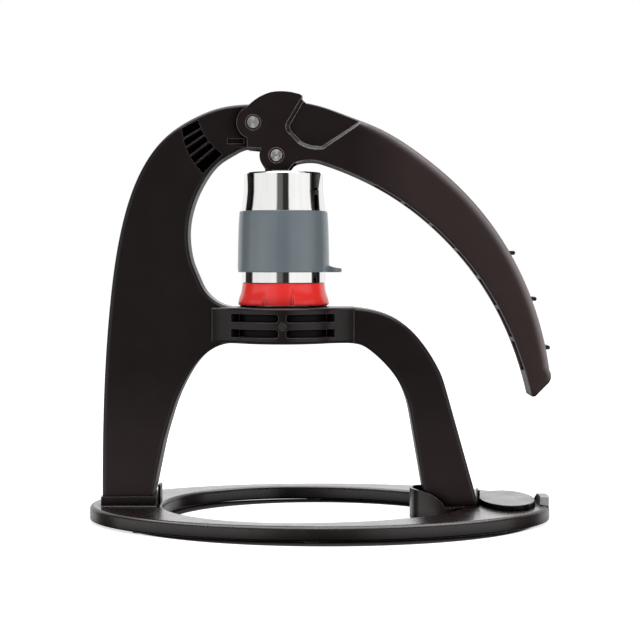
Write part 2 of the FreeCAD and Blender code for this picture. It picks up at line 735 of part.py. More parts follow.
def stand():
    body = new_body("stand")
    blank = pad(body, new_sketch(body, "XZ_Plane", stand_outline()), s.stand_thickness, symmetric=True)

    # both faces lean in towards the arm
    top = s.pivot_z + s.tongue_radius + 5
    for side in (1.0, -1.0):
        wedge = [
            (side * s.arm_thickness / 2, top),
            (side * s.arm_thickness / 2, s.lean_top),
            (side * s.stand_thickness / 2, ring_top),
            (side * (s.stand_thickness / 2 + 5), ring_top),
            (side * (s.stand_thickness / 2 + 5), top),
        ]
        blank = cut(body, corner_sketch(body, "YZ_Plane", wedge), symmetric=True)

    low = float(ring_top) + 0.01
    thin = float(s.arm_thickness) / 2

    def on_side(edge):
        box = edge.BoundBox
        flat = box.YMax - box.YMin < 4.0 and min(abs(box.YMin), abs(box.YMax)) > thin - 0.01
        at_foot = box.ZMax - box.ZMin < 0.01 and box.ZMax < float(post_foot_z) + 0.01
        crease = abs(box.ZMin - box.ZMax) < 0.01 and abs(box.ZMin - float(s.lean_top)) < 0.01
        hidden = box.XMax < float(s.pivot_x + s.tongue_radius) + 1 and box.XMin > float(s.pivot_x) - 12.5
        return flat and not at_foot and not crease and not hidden

    blank = round_edges(body, blank, s.stand_edge, on_side)

    # collar
    collar = pad(body, new_sketch(body, "XY_Plane", collar_outline(0.6), bridge_base), s.bridge_height)

    def round_front(edge):
        box = edge.BoundBox
        level = at_height(edge, s.bridge_top) or at_height(edge, bridge_base)
        return level and max(abs(box.YMin), abs(box.YMax)) > float(s.collar_radius) - 0.01

    round_edges(body, collar, s.collar_rounding, round_front)
    bore = circle_sketch(body, "XY_Plane", [(s.brew_axis_x, 0.0, s.seat_ring_outer + s.part_gap)], s.bridge_top)
    cut(body, bore, s.seat_ring_height - s.seat_ring_proud)
    throat = circle_sketch(body, "XY_Plane", [(s.brew_axis_x, 0.0, s.seat_ring_inner)], s.bridge_top)
    cut(body, throat)

    # two rows of blind slots round the front and back of the collar
    rib = math.asin(float(s.collar_slot_rib) / 2 / float(s.collar_radius))
    far = math.asin(float(s.collar_slot_reach) / float(s.collar_radius))
    inner = float(s.collar_radius - s.collar_slot_depth)
    outer = float(s.collar_radius) + 3.0
    axis = float(s.brew_axis_x)
    for level in (bridge_base + s.collar_slot_rise,
                  s.bridge_top - s.collar_slot_rise - s.collar_slot_height):
        curves = []
        for turn in (0.0, math.pi):
            for first, end in ((rib, far), (-far, -rib)):
                start_angle = turn + math.pi / 2 + first
                end_angle = turn + math.pi / 2 + end
                middle = (start_angle + end_angle) / 2

                def spot(radius, angle):
                    return axis + radius * math.cos(angle), radius * math.sin(angle)

                path = Path(*spot(inner, start_angle))
                path.arc(*spot(inner, middle), *spot(inner, end_angle))
                path.line(*spot(outer, end_angle))
                path.arc(*spot(outer, middle), *spot(outer, start_angle))
                curves += path.close()
        slots = cut(body, new_sketch(body, "XY_Plane", curves, level), s.collar_slot_height, along_normal=True)
        low = float(level) - 0.01
        high = float(level + s.collar_slot_height) + 0.01

        def slot_end(edge):
            box = edge.BoundBox
            flat = box.ZMax - box.ZMin < 0.01 and low < box.ZMin < high
            return flat and isinstance(edge.Curve, (Part.Line, Part.LineSegment)) and edge.Length < 6

        round_edges(body, slots, s.collar_slot_rounding, slot_end)

    # hole for the collar screw, at the middle of the front rib
    screw_z = (s.bridge_top + bridge_base) / 2
    hole = circle_sketch(body, "XZ_Plane", [(s.brew_axis_x, screw_z, s.collar_screw_shank / 2 + s.part_gap)],
                         s.seat_ring_inner)
    cut(body, hole, along_normal=True)
    sink = circle_sketch(body, "XZ_Plane", [(s.brew_axis_x, screw_z, s.collar_screw_head / 2 + s.part_gap)],
                         s.collar_radius - 1.6)
    cut(body, sink, along_normal=True)

    # vents and the small latch recess on both faces of the arch
    web = s.vent_web / 2
    vents = vent_outlines()
    cut(body, new_sketch(body, "XZ_Plane", vents, web), along_normal=True)
    cut(body, new_sketch(body, "XZ_Plane", vents, -web))
    latch_x = s.pivot_x - 16.6
    latch_z = s.pivot_z - 13.3
    latch = [(latch_x, latch_z), (latch_x + 10.6, latch_z), (latch_x + 10.6, latch_z + 3.2), (latch_x, latch_z + 3.2)]
    floor = s.arm_thickness / 2 - s.latch_depth
    cut(body, corner_sketch(body, "XZ_Plane", latch, floor), along_normal=True)
    cut(body, corner_sketch(body, "XZ_Plane", latch, -floor))

    # bore of the lever bearing, and blind holes for the base screws
    cut(body, circle_sketch(body, "XZ_Plane", [(s.pivot_x, s.pivot_z, bush_radius)]), symmetric=True)
    shanks = [(x, y, s.screw_diameter / 2) for x, y in SCREWS[:2]]
    cut(body, circle_sketch(body, "XY_Plane", shanks, post_foot_z), s.screw_grip, along_normal=True)
    shanks = [(x, y, s.screw_diameter / 2) for x, y in SCREWS[2:]]
    body.Tip = cut(body, circle_sketch(body, "XY_Plane", shanks, ring_top), s.screw_grip, along_normal=True)
    return screw_z


def seat_ring(screw_z):
    body = new_body("head_seat_ring")
    inner = s.seat_ring_inner
    outer = s.seat_ring_outer
    section = [
        (inner, seat_ring_base),
        (outer, seat_ring_base),
        (outer, seat_ring_top),
        (inner + 0.8, seat_ring_top),
        (inner, seat_ring_top - 0.8),
    ]
    revolve(body, corner_sketch(body, "XZ_Plane", section))
    hole = circle_sketch(body, "XZ_Plane", [(0.0, screw_z, s.collar_screw_shank / 2)], 0.0)
    body.Tip = cut(body, hole, along_normal=True)
    place(body, x=s.brew_axis_x)

    screw = new_body("collar_screw")
    head = circle_sketch(screw, "XZ_Plane", [(0.0, 0.0, s.collar_screw_head / 2)])
    pad(screw, head, 1.2)
    shank = circle_sketch(screw, "XZ_Plane", [(0.0, 0.0, s.collar_screw_shank / 2)])
    screw.Tip = pad(screw, shank, s.collar_radius - 1.6 - s.seat_ring_inner - 0.5, down=True)
    place(screw, s.brew_axis_x, -(s.collar_radius - 1.6), screw_z)


def cross_pin(label, x, z, length, radius, chamfer):
    """A steel rod across the machine, with turned ends."""
    body = new_body(label)
    rod = pad(body, circle_sketch(body, "XZ_Plane", [(0.0, 0.0, radius)]), length, symmetric=True)
    chamfer_edges(body, rod, chamfer, lambda edge: edge.BoundBox.YMax - edge.BoundBox.YMin < 0.01)
    floor = length / 2 - s.pin_mark_depth
    mark = [(0.0, 0.0, s.pin_mark_diameter / 2)]
    cut(body, circle_sketch(body, "XZ_Plane", mark, floor), along_normal=True)
    body.Tip = cut(body, circle_sketch(body, "XZ_Plane", mark, -floor))
    place(body, x, 0.0, z)


def cross_bush(label, x, z, length):
    body = new_body(label)
    inner = s.pin_diameter / 2 + s.bearing_clearance
    body.Tip = pad(body, circle_sketch(body, "XZ_Plane", [(0.0, 0.0, bush_radius), (0.0, 0.0, inner)]), length, symmetric=True)
    place(body, x, 0.0, z)


# Stations of the lever's side view, from the pivot, for a reach of 190.7 mm: knuckle, hook, neck, back,
# tip, and the underside from the tip to the boss
LEVER_KNUCKLE = [(5.5, 17.0), (11.5, 19.2), (18.0, 19.8), (24.7, 19.2)]
LEVER_HOOK = [(29.6, 18.0), (31.4, 16.9), (30.7, 15.3), (33.3, 12.7)]
LEVER_NECK = [(38.2, 11.8), (51.1, 8.0), (61.4, 4.1)]
LEVER_BACK = [
    (80.5, -3.5),
    (105.5, -18.8),
    (129.0, -38.0),
    (152.0, -63.6),
    (168.2, -89.2),
    (184.3, -129.0),
    (190.7, -160.0),
]
LEVER_TIP = [(190.6, -164.6), (188.2, -167.8), (181.0, -175.2), (178.8, -175.4)]
LEVER_UNDERSIDE = [
    (175.3, -161.8),
    (163.5, -130.1),
    (147.8, -102.4),
    (126.3, -76.1),
    (95.2, -49.8),
    (72.6, -36.7),
    (43.2, -24.9),
]
lever_scale = float(s.lever_reach) / LEVER_BACK[-1][0]


def reached(points):
    return [(x * lever_scale, z * lever_scale) for x, z in points]


def lever_outline():
    cheek = float(s.cheek_radius)
    boss = float(s.boss_radius)
    crank_x = float(s.crank_x)
    crank_z = float(s.crank_z)
    flat = float(s.boss_flat)
    heel = cheek * 0.37
    path = Path(-heel, -math.sqrt(cheek ** 2 - heel ** 2))
    path.arc(-cheek, 0.0, -heel, math.sqrt(cheek ** 2 - heel ** 2))
    path.smooth(reached(LEVER_KNUCKLE))
    for x, z in reached(LEVER_HOOK):
        path.line(x, z)
    path.smooth(reached(LEVER_NECK + LEVER_BACK))
    round_middle, tip, low_tip, toe = reached(LEVER_TIP)
    path.arc(*round_middle, *tip)
    path.line(*low_tip)
    path.line(*toe)
    path.smooth(reached(LEVER_UNDERSIDE))
    half_flat = math.sqrt(boss ** 2 - flat ** 2)
    path.smooth([(crank_x + boss, crank_z - boss / 2)], start=vec(-1, 0.36), end=vec(-0.8, -0.6))
    path.line(crank_x + half_flat + boss * 0.2, crank_z - flat)
    path.line(crank_x - half_flat, crank_z - flat)
    side = boss * 0.9
    path.arc(crank_x - boss, crank_z, crank_x - side, crank_z + math.sqrt(boss ** 2 - side ** 2))
    path.line(crank_x - boss * 1.13, crank_z + boss * 0.42)
    path.line(-heel, crank_z + boss * 0.48)
    return path.close()


def channel_cells():
    """The hollow underside of the handle: a row of cells with a rib left between each two."""
    roof = float(s.channel_roof)
    back = Part.BSplineCurve()
    back.interpolate([vec(x, z) for x, z in reached(LEVER_NECK[-1:] + LEVER_BACK)])
    under = Part.BSplineCurve()
    under.interpolate([vec(x, z) for x, z in reversed(reached([LEVER_TIP[-1]] + LEVER_UNDERSIDE))])
    cells = 7
    first_share = 0.26
    last_share = 0.985
    first_under = 0.17
    last_under = 0.93

    def spots(share):
        at = first_share + (last_share - first_share) * share
        parameter = back.parameterAtDistance(back.length() * at, back.FirstParameter)
        place_on = back.value(parameter)
        tangent = back.tangent(parameter)[0]
        inward = vec(tangent.y, -tangent.x).normalize()
        at = first_under + (last_under - first_under) * share
        parameter = under.parameterAtDistance(under.length() * at, under.FirstParameter)
        below = under.value(parameter)
        upper = place_on + inward * roof
        down = (below - upper).normalize()
        return upper, below + down * 3.0

    outlines = []
    half = float(s.channel_rib) / 2 / back.length() / (last_share - first_share)
    for cell in range(cells):
        upper_a, lower_a = spots(cell / cells + half)
        upper_b, lower_b = spots((cell + 1) / cells - half)
        path = Path(upper_a.x, upper_a.y)
        path.line(upper_b.x, upper_b.y)
        path.line(lower_b.x, lower_b.y)
        path.line(lower_a.x, lower_a.y)
        outlines += path.close()
    return outlines


def panel_outline():
    """The U-shaped side recess between the knuckle and the shoulder of the handle."""
    places = [(31.9, 13.2), (23.4, -1.3), (23.3, -3.6), (24.6, -5.5), (29.9, -11.3), (35.6, -14.2), (42.3, -15.0),
              (44.0, -14.9), (45.6, -13.8), (54.2, -8.2), (70.0, 2.2), (66.5, 9.0), (45.0, 21.0)]
    spots = reached(places)
    path = Path(*spots[0])
    path.line(*spots[1])
    path.arc(*spots[2], *spots[3])
    path.line(*spots[4])
    path.arc(*spots[5], *spots[6])
    path.arc(*spots[7], *spots[8])
    for spot in spots[9:]:
        path.line(*spot)
    return path.close()


def lever():
    body = new_body("lever")
    pad(body, new_sketch(body, "XZ_Plane", lever_outline()), s.fork_width, symmetric=True)
    reach = s.lever_reach + 4
    blank = None
    for side in (1.0, -1.0):
        wedge = [
            (20.0, side * s.fork_width / 2),
            (reach, side * s.tip_width / 2),
            (reach, side * (s.fork_width / 2 + 3)),
            (20.0, side * (s.fork_width / 2 + 3)),
        ]
        blank = cut(body, corner_sketch(body, "XY_Plane", wedge), symmetric=True)
    thin = float(s.tip_width) / 2

    def on_side(edge):
        box = edge.BoundBox
        outside = min(abs(box.YMin), abs(box.YMax)) > thin - 0.2 and box.YMax - box.YMin < 4.0
        on_back = box.XMax > 180.0 and box.ZMax > 10.0
        return outside and on_back

    blank = round_edges(body, blank, s.lever_rounding, on_side)

    # fork: room for the tongue and for the press foot between the cheeks
    web_radius = s.tongue_radius + s.web_clearance
    angle = math.radians(float(s.web_angle))
    press_room = s.press_radius + s.foot_clearance
    far = 60.0
    fork = Path(0.0, 0.0)
    fork.line(far * math.cos(angle), far * math.sin(angle))
    fork.line(-far, far)
    fork.line(-far, -far)
    fork.line(s.crank_x + 6, -far)
    fork.line(s.crank_x, s.crank_z)
    cut(body, new_sketch(body, "XZ_Plane", fork.close()), fork_gap, symmetric=True)
    cut(body, circle_sketch(body, "XZ_Plane", [(0.0, 0.0, web_radius)]), fork_gap, symmetric=True)
    cut(body, circle_sketch(body, "XZ_Plane", [(s.crank_x, s.crank_z, press_room)]), fork_gap, symmetric=True)

    # side panels and the ribbed channel underneath
    floor = s.fork_width / 2 - s.panel_depth
    cut(body, new_sketch(body, "XZ_Plane", panel_outline(), floor), along_normal=True)
    cut(body, new_sketch(body, "XZ_Plane", panel_outline(), -floor))
    cut(body, new_sketch(body, "XZ_Plane", channel_cells()), s.channel_width, symmetric=True)

    # pin holes with a shallow sink round each end
    pins = [(0.0, 0.0), (s.crank_x, s.crank_z)]
    holes = [(x, z, s.pin_diameter / 2) for x, z in pins]
    cut(body, circle_sketch(body, "XZ_Plane", holes), symmetric=True)
    sinks = [(x, z, s.pin_sink_diameter / 2) for x, z in pins]
    depth = s.fork_width / 2 - s.pin_sink_depth
    cut(body, circle_sketch(body, "XZ_Plane", sinks, depth), along_normal=True)
    cut(body, circle_sketch(body, "XZ_Plane", sinks, -depth))

    # slots that the grip studs plug into
    last = None
    for outline in stud_outlines():
        last = cut(body, new_sketch(body, "XZ_Plane", outline), s.stud_width, symmetric=True)
    body.Tip = last
    place(body, s.pivot_x, 0.0, s.pivot_z)


STUD_PLACES = [(165.0, -83.0), (179.0, -112.7), (187.8, -144.1)]


def stud_outlines():
    """Side views of the three studs, level bars let into the back of the handle."""
    outlines = []
    half = float(s.stud_height) / 2
    for x, z in reached(STUD_PLACES):
        start = x - float(s.stud_sunk)
        end = x + float(s.stud_proud)
        path = Path(start, z - half)
        path.line(end - 0.8, z - half)
        path.line(end, z - half + 0.7)
        path.line(end, z + half - 0.7)
        path.line(end - 0.8, z + half)
        path.line(start, z + half)
        outlines.append(path.close())
    return outlines


def lever_studs():
    studs = []
    for outline in stud_outlines():
        profile = doc.addObject("Sketcher::SketchObject", "StudSketch")
        profile.Placement = FreeCAD.Placement(vec(s.pivot_x, 0, s.pivot_z), FreeCAD.Rotation(vec(1, 0, 0), 90))
        for curve in outline:
            profile.addGeometry(curve, False)
        bar = doc.addObject("Part::Extrusion", "Stud")
        bar.Base = profile
        bar.DirMode = "Normal"
        bar.setExpression("LengthFwd", text_of(s.stud_width / 2))
        bar.setExpression("LengthRev", text_of(s.stud_width / 2))
        bar.Solid = True
        studs.append(bar)
    group("lever_studs", studs)


def press_foot():
    body = new_body("press_foot")
    radius = float(s.press_radius)
    half = float(s.press_length) / 2
    drop = float(s.press_drop)
    outline = Path(half, -drop)
    outline.line(half, -drop + 2.2)
    low = -math.sqrt(max(0.1, radius ** 2 - (half + 0.2) ** 2))
    outline.line(half + 0.2, low)
    outline.arc(0.0, radius, -half - 0.2, low)
    outline.line(-half, -drop + 2.2)
    outline.line(-half, -drop)
    pad(body, new_sketch(body, "XZ_Plane", outline.close()), s.arm_thickness, symmetric=True)
    body.Tip = cut(body, circle_sketch(body, "XZ_Plane", [(0.0, 0.0, bush_radius)]), symmetric=True)
    place(body, s.pivot_x + s.crank_x, 0.0, s.pivot_z + s.crank_z)


def brew_head():
    axis = s.brew_axis_x
    rim = s.rim_z
    bore = s.brew_bore
    top = s.cylinder_top_radius
    wide = s.cylinder_radius
    turned("brew_cylinder", [
        (bore, s.cylinder_base_z),
        (s.spigot_radius, s.cylinder_base_z),
        (s.spigot_radius, s.cylinder_shoulder_z),
        (wide, s.cylinder_shoulder_z),
        (wide, s.cylinder_taper_z),
        (wide * 0.4 + top * 0.6, (s.cylinder_taper_z + s.cylinder_neck_z) / 2 + 1),
        (top + 0.1, s.cylinder_neck_z),
        (top, rim - 1),
        (top - 1, rim),
        (bore + 1.6, rim),
        (bore, rim - 1.6),
    ], axis)

    sleeve = new_body("thermal_sleeve")
    inner = wide + s.part_gap / 2
    outer = inner + s.sleeve_wall
    revolve(sleeve, corner_sketch(sleeve, "XZ_Plane", [
        (inner, s.sleeve_base_z),
        (outer, s.sleeve_base_z),
        (outer, s.sleeve_base_z + 5),
        (outer - 0.4, (s.sleeve_base_z + s.sleeve_top_z) / 2 + 4),
        (inner + s.sleeve_lip_wall, s.sleeve_top_z - 0.7),
        (inner + s.sleeve_lip_wall - 0.7, s.sleeve_top_z),
        (inner, s.sleeve_top_z),
    ]))
    half = s.tab_width / 2
    root = wide + 1
    reach = outer + s.tab_length
    tab = Path(root, half)
    tab.line(reach - half, half)
    tab.arc(reach, 0.0, reach - half, -half)
    tab.line(root, -half)
    sleeve.Tip = pad(sleeve, new_sketch(sleeve, "XY_Plane", tab.close(), s.sleeve_base_z), s.tab_thickness)
    place(sleeve, x=axis)

    lip_top = head_base + s.collar_ring_lip
    fit = s.spigot_radius + s.part_gap
    ring = new_body("portafilter_collar")
    flare = s.collar_ring_flare
    revolve(ring, corner_sketch(ring, "XZ_Plane", [
        (s.holder_radius + s.part_gap, head_base),
        (flare - 0.6, head_base),
        (flare, head_base + 0.6),
        (flare, head_base + 3.6),
        (flare - 0.3, head_base + 4.9),
        (s.collar_ring_radius + 0.8, head_base + 7.4),
        (s.collar_ring_radius, head_base + 10),
        (s.collar_ring_radius, s.cylinder_shoulder_z - 0.1),
        (fit, s.cylinder_shoulder_z - 0.1),
        (fit, lip_top),
        (s.holder_radius + s.part_gap, lip_top),
    ]))
    # three shallow grips where the flare is cut back
    notch_depth = flare - s.collar_ring_radius
    sectors = []
    for number in range(3):
        middle = math.radians(-90.0 + 120.0 * number)
        half_turn = math.radians(22.0)
        near = float(flare - notch_depth * 0.45)
        away = float(flare) + 2.0

        def spot(radius, angle):
            return radius * math.cos(angle), radius * math.sin(angle)

        path = Path(*spot(near, middle - half_turn))
        path.arc(*spot(near, middle), *spot(near, middle + half_turn))
        path.line(*spot(away, middle + half_turn))
        path.arc(*spot(away, middle), *spot(away, middle - half_turn))
        sectors += path.close()
    ring.Tip = cut(ring, new_sketch(ring, "XY_Plane", sectors, head_base - 1), 6.0, along_normal=True)
    place(ring, x=axis)

    flange_base = lip_top + s.part_gap
    flange_top = flange_base + s.holder_flange
    holder_inner = s.holder_radius - s.holder_wall
    floor_z = flange_top - s.basket_depth - 1
    outlet = s.outlet_radius
    turned("portafilter", [
        (outlet, s.holder_base_z),
        (outlet + s.holder_wall, s.holder_base_z),
        (outlet + s.holder_wall, s.holder_base_z + 4),
        (s.holder_radius, floor_z - 1),
        (s.holder_radius, flange_base),
        (s.spigot_radius, flange_base),
        (s.spigot_radius, flange_top),
        (holder_inner, flange_top),
        (holder_inner, floor_z),
        (outlet, s.holder_base_z + 5.5),
    ], axis)

    basket = new_body("filter_basket")
    basket_outer = holder_inner - 2 * s.part_gap
    rim_z = flange_top
    basket_floor = rim_z - s.basket_depth
    wall = s.basket_wall
    revolve(basket, corner_sketch(basket, "XZ_Plane", [
        (0.0, basket_floor),
        (basket_outer, basket_floor),
        (basket_outer, rim_z),
        (s.spigot_radius - 0.2, rim_z),
        (s.spigot_radius - 0.2, rim_z + wall),
        (basket_outer - wall, rim_z + wall),
        (basket_outer - wall, basket_floor + wall),
        (0.0, basket_floor + wall),
    ]))
    holes = circle_sketch(basket, "XY_Plane", strainer_holes(3), basket_floor - 1)
    basket.Tip = cut(basket, holes, 3.0, along_normal=True)
    place(basket, x=axis)

    gasket_base = rim_z + wall + s.part_gap / 2
    turned("cylinder_gasket", [
        (bore - 1.6, gasket_base),
        (s.spigot_radius - 0.2, gasket_base),
        (s.spigot_radius - 0.2, s.cylinder_base_z - s.part_gap / 2),
        (bore - 1.6, s.cylinder_base_z - s.part_gap / 2),
    ], axis)

    screen = new_body("dispersion_screen")
    disc = circle_sketch(screen, "XY_Plane", [(0.0, 0.0, bore - s.part_gap)], s.cylinder_base_z)
    pad(screen, disc, s.screen_thickness)
    holes = circle_sketch(screen, "XY_Plane", strainer_holes(3), s.cylinder_base_z - 1)
    screen.Tip = cut(screen, holes, 4.0, along_normal=True)
    place(screen, x=axis)


def strainer_holes(rings):
    """Rings of small holes, six more in each, round one in the middle."""
    radius = s.hole_diameter / 2
    holes = [(0.0, 0.0, radius)]
    for ring in range(1, rings + 1):
        for step in range(6 * ring):
            angle = 2 * math.pi * step / (6 * ring)
            reach = s.hole_pitch * ring
            holes.append((reach * math.cos(angle), reach * math.sin(angle), radius))
    return holes


def piston():
    axis = s.brew_axis_x
    slide = s.brew_bore - s.bearing_clearance
    section = s.seal_section
    groove_x = slide - section
    lower = piston_base + s.seal_inset
    upper = piston_top - s.seal_inset - section
    stem = s.stem_radius
    turned("piston_body", [
        (0.0, piston_base),
        (slide - 0.6, piston_base),
        (slide, piston_base + 0.6),
        (slide, lower),
        (groove_x, lower),
        (groove_x, lower + section),
        (slide, lower + section),
        (slide, upper),
        (groove_x, upper),
        (groove_x, upper + section),
        (slide, upper + section),
        (slide, piston_top - 0.6),
        (slide - 0.6, piston_top),
        (stem + 0.1, piston_top),
        (stem + 0.1, piston_top - 6),
        (0.0, piston_top - 6),
    ], axis)
    for label, level in (("piston_seal_lower", lower), ("piston_seal_upper", upper)):
        body = new_body(label)
        radius = section / 2
        centre_x = slide - radius
        ring = circle_sketch(body, "XZ_Plane", [(centre_x, level + radius, radius - s.part_gap / 4)])
        body.Tip = revolve(body, ring)
        place(body, x=axis)
    cap_base = stem_top - s.stem_cap_height
    turned("piston_stem", [
        (0.0, piston_top - 6),
        (stem, piston_top - 6),
        (stem, cap_base),
        (stem - 1.6, cap_base),
        (stem - 1.6, cap_base + 2),
        (0.0, cap_base + 2),
    ], axis)
    cap = s.stem_cap_radius
    turned("piston_cap", [
        (stem - 1.5, cap_base),
        (cap, cap_base),
        (cap, stem_top - 0.8),
        (cap - 0.8, stem_top),
        (0.0, stem_top),
        (0.0, cap_base + 2),
        (stem - 1.5, cap_base + 2),
    ], axis)


base_ring()
rubber_feet()
base_screws()
base_medallion()
screw_level = stand()
seat_ring(screw_level)
cross_bush("fulcrum_bush", s.pivot_x, s.pivot_z, s.arm_thickness)
lever()
lever_studs()
pin_length = s.fork_width - 2 * s.pin_inset
cross_pin("fulcrum_pin", s.pivot_x, s.pivot_z, pin_length, s.pin_diameter / 2, s.pin_chamfer)
cross_pin("foot_pin", s.pivot_x + s.crank_x, s.pivot_z + s.crank_z, pin_length, s.pin_diameter / 2, s.pin_chamfer)
press_foot()
cross_bush("foot_bush", s.pivot_x + s.crank_x, s.pivot_z + s.crank_z, s.arm_thickness)
brew_head()
piston()
doc.recompute()

for item in doc.Objects:
    if "Invalid" in item.State or "Error" in item.State:
        raise RuntimeError("%s %s did not build: %s" % (item.Name, item.Label, item.getStatusString()))
os.makedirs("parts", exist_ok=True)
for item in PARTS:
    shape = item.Shape
    if shape.isNull() or not shape.isValid() or not shape.Solids:
        raise RuntimeError("%s has no valid solid" % item.Label)
    print("%-20s solids %d  volume %.0f  box %s" % (item.Label, len(shape.Solids), shape.Volume, shape.BoundBox))
for item in PARTS:
    item.Shape.exportStep("parts/%s.step" % item.Label)
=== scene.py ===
import math

import bmesh
import bpy
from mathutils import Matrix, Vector


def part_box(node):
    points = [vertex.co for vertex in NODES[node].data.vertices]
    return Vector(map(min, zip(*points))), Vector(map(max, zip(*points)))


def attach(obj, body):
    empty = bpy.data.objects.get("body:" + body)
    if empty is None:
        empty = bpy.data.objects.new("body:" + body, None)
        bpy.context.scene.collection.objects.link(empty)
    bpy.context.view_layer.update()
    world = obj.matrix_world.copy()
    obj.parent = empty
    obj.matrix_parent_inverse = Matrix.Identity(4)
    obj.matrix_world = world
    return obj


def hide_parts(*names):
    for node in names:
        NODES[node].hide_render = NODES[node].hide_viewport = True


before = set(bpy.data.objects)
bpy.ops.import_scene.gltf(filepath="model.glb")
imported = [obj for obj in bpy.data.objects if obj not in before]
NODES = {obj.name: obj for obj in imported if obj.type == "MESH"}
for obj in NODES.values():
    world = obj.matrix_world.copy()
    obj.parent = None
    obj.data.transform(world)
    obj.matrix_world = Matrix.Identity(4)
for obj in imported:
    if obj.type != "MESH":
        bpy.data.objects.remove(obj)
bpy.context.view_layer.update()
MM = 0.001

# The photograph: 640 x 640 pixels, taken from about a metre, level with the upper third of the stand
CAMERA_DISTANCE = 1.041
CAMERA_HEIGHT = 0.1689
CAMERA_SIDE = 0.0002
FOCAL_PIXELS = 1602.0
FRAME_PIXELS = 640.0
HORIZON_ROW = 260.0
SENSOR_MM = 36.0


def linear(red, green, blue):
    """A colour as it shows on screen, 0 to 255, in the scene's linear values."""
    def decode(value):
        share = value / 255.0
        return share / 12.92 if share <= 0.04045 else ((share + 0.055) / 1.055) ** 2.4
    return decode(red), decode(green), decode(blue), 1.0


# Materials

class Tree:
    """A node tree, built up call by call."""

    def __init__(self, tree):
        self.tree = tree

    def add(self, kind, **settings):
        node = self.tree.nodes.new(kind)
        for name, value in settings.items():
            setattr(node, name, value)
        return node

    def link(self, output, node, socket):
        self.tree.links.new(output, node.inputs[socket])

    def feed(self, value, node, socket):
        """Links a node's output to the socket, or sets it to a fixed value."""
        if isinstance(value, bpy.types.NodeSocket):
            self.link(value, node, socket)
        else:
            node.inputs[socket].default_value = value


SHADER_SAMPLES = 8
RECESS_RANGE = (0.55, 0.95)
EDGE_START = 0.80
EDGE_END = 0.99
OUTWARDS = (0.6, 0.0, 0.8)
SHEEN_RISE = (0.08, 0.62)
SHEEN_FALL = (0.72, 0.92)


class Nodes(Tree):
    """The nodes of a material."""

    def __init__(self, name):
        self.material = bpy.data.materials.new(name)
        self.material.use_nodes = True
        super().__init__(self.material.node_tree)
        self.shader = self.tree.nodes["Principled BSDF"]
        self.place = self.add("ShaderNodeTexCoord").outputs["Object"]

    def set(self, **values):
        for name, value in values.items():
            self.shader.inputs[name.replace("_", " ")].default_value = value

    def noise(self, scale, detail, stretch=None):
        """Noise over the object's own coordinates, in cycles per metre, stretched by a scale per axis."""
        source = self.place
        if stretch is not None:
            mapping = self.add("ShaderNodeMapping")
            mapping.inputs["Scale"].default_value = stretch
            self.link(source, mapping, "Vector")
            source = mapping.outputs["Vector"]
        node = self.add("ShaderNodeTexNoise")
        node.inputs["Scale"].default_value = scale
        node.inputs["Detail"].default_value = detail
        self.link(source, node, "Vector")
        return node.outputs["Fac"]

    def spread(self, factor, low, high, start=0.3, end=0.7):
        """The factor from start to end, mapped onto low to high."""
        node = self.add("ShaderNodeMapRange")
        node.inputs["From Min"].default_value = start
        node.inputs["From Max"].default_value = end
        node.inputs["To Min"].default_value = low
        node.inputs["To Max"].default_value = high
        self.link(factor, node, "Value")
        return node.outputs["Result"]

    def blend(self, factor, first, second):
        """One colour turning into another; each is a fixed colour or a node's output."""
        node = self.add("ShaderNodeMix", data_type="RGBA")
        self.feed(first, node, "A")
        self.feed(second, node, "B")
        self.link(factor, node, "Factor")
        return node.outputs["Result"]

    def paint(self, colour):
        self.link(colour, self.shader, "Base Color")

    def rough(self, factor, low, high):
        self.link(self.spread(factor, low, high), self.shader, "Roughness")

    def recesses(self, reach):
        """Near 0 deep in slots and corners, 1 on open faces: the mask of painted shade."""
        node = self.add("ShaderNodeAmbientOcclusion", samples=SHADER_SAMPLES)
        node.inputs["Distance"].default_value = reach
        return self.spread(node.outputs["AO"], 0.0, 1.0, *RECESS_RANGE)

    def rounded_normal(self, radius):
        """The normal of the shape as if its edges had a small radius."""
        node = self.add("ShaderNodeBevel", samples=SHADER_SAMPLES)
        self.feed(radius, node, "Radius")
        return node.outputs["Normal"]

    def edges(self, radius, start=EDGE_START):
        """1 along edges, 0 on faces: where a rounded normal leaves the face's own; the mask of painted edge
        highlights.
        """
        own = self.add("ShaderNodeNewGeometry")
        match = self.add("ShaderNodeVectorMath", operation="DOT_PRODUCT")
        self.link(self.rounded_normal(radius), match, 0)
        self.link(own.outputs["Normal"], match, 1)
        return self.spread(match.outputs["Value"], 1.0, 0.0, start, EDGE_END)

    def product(self, first, second):
        node = self.add("ShaderNodeMath", operation="MULTIPLY")
        self.link(first, node, 0)
        self.link(second, node, 1)
        return node.outputs[0]

    def outer_rounding(self, radius):
        """1 where a wide rounding turns halfway from the sides to the lever's outer edge, 0 on either: the
        mask of the painted back highlight.
        """
        facing = self.add("ShaderNodeVectorMath", operation="DOT_PRODUCT")
        facing.inputs[1].default_value = OUTWARDS
        self.link(self.rounded_normal(radius), facing, 0)
        rising = self.spread(facing.outputs["Value"], 0.0, 1.0, *SHEEN_RISE)
        falling = self.spread(facing.outputs["Value"], 1.0, 0.0, *SHEEN_FALL)
        return self.product(rising, falling)

    def bump(self, height, strength, distance, rounding):
        """Relief from a height, over edges that are softened by a small radius."""
        node = self.add("ShaderNodeBump")
        node.inputs["Strength"].default_value = strength
        node.inputs["Distance"].default_value = distance
        self.link(height, node, "Height")
        self.link(self.rounded_normal(rounding), node, "Normal")
        self.link(node.outputs["Normal"], self.shader, "Normal")


RECESS_REACH = 0.009
RECESS_GLOSS = 0.04
# painted highlights: the lighter tones laid along edges, where roundings would catch light
EDGE_HIGHLIGHT_GREY = linear(88, 79, 79)
LEVER_EDGE_HIGHLIGHT = linear(136, 124, 124)
RIM_GREY = (0.05, 0.05, 0.05, 1.0)
SMOOTH_DETAIL = 2.0
FINE_DETAIL = 3.0
MARK_DETAIL = 4.0
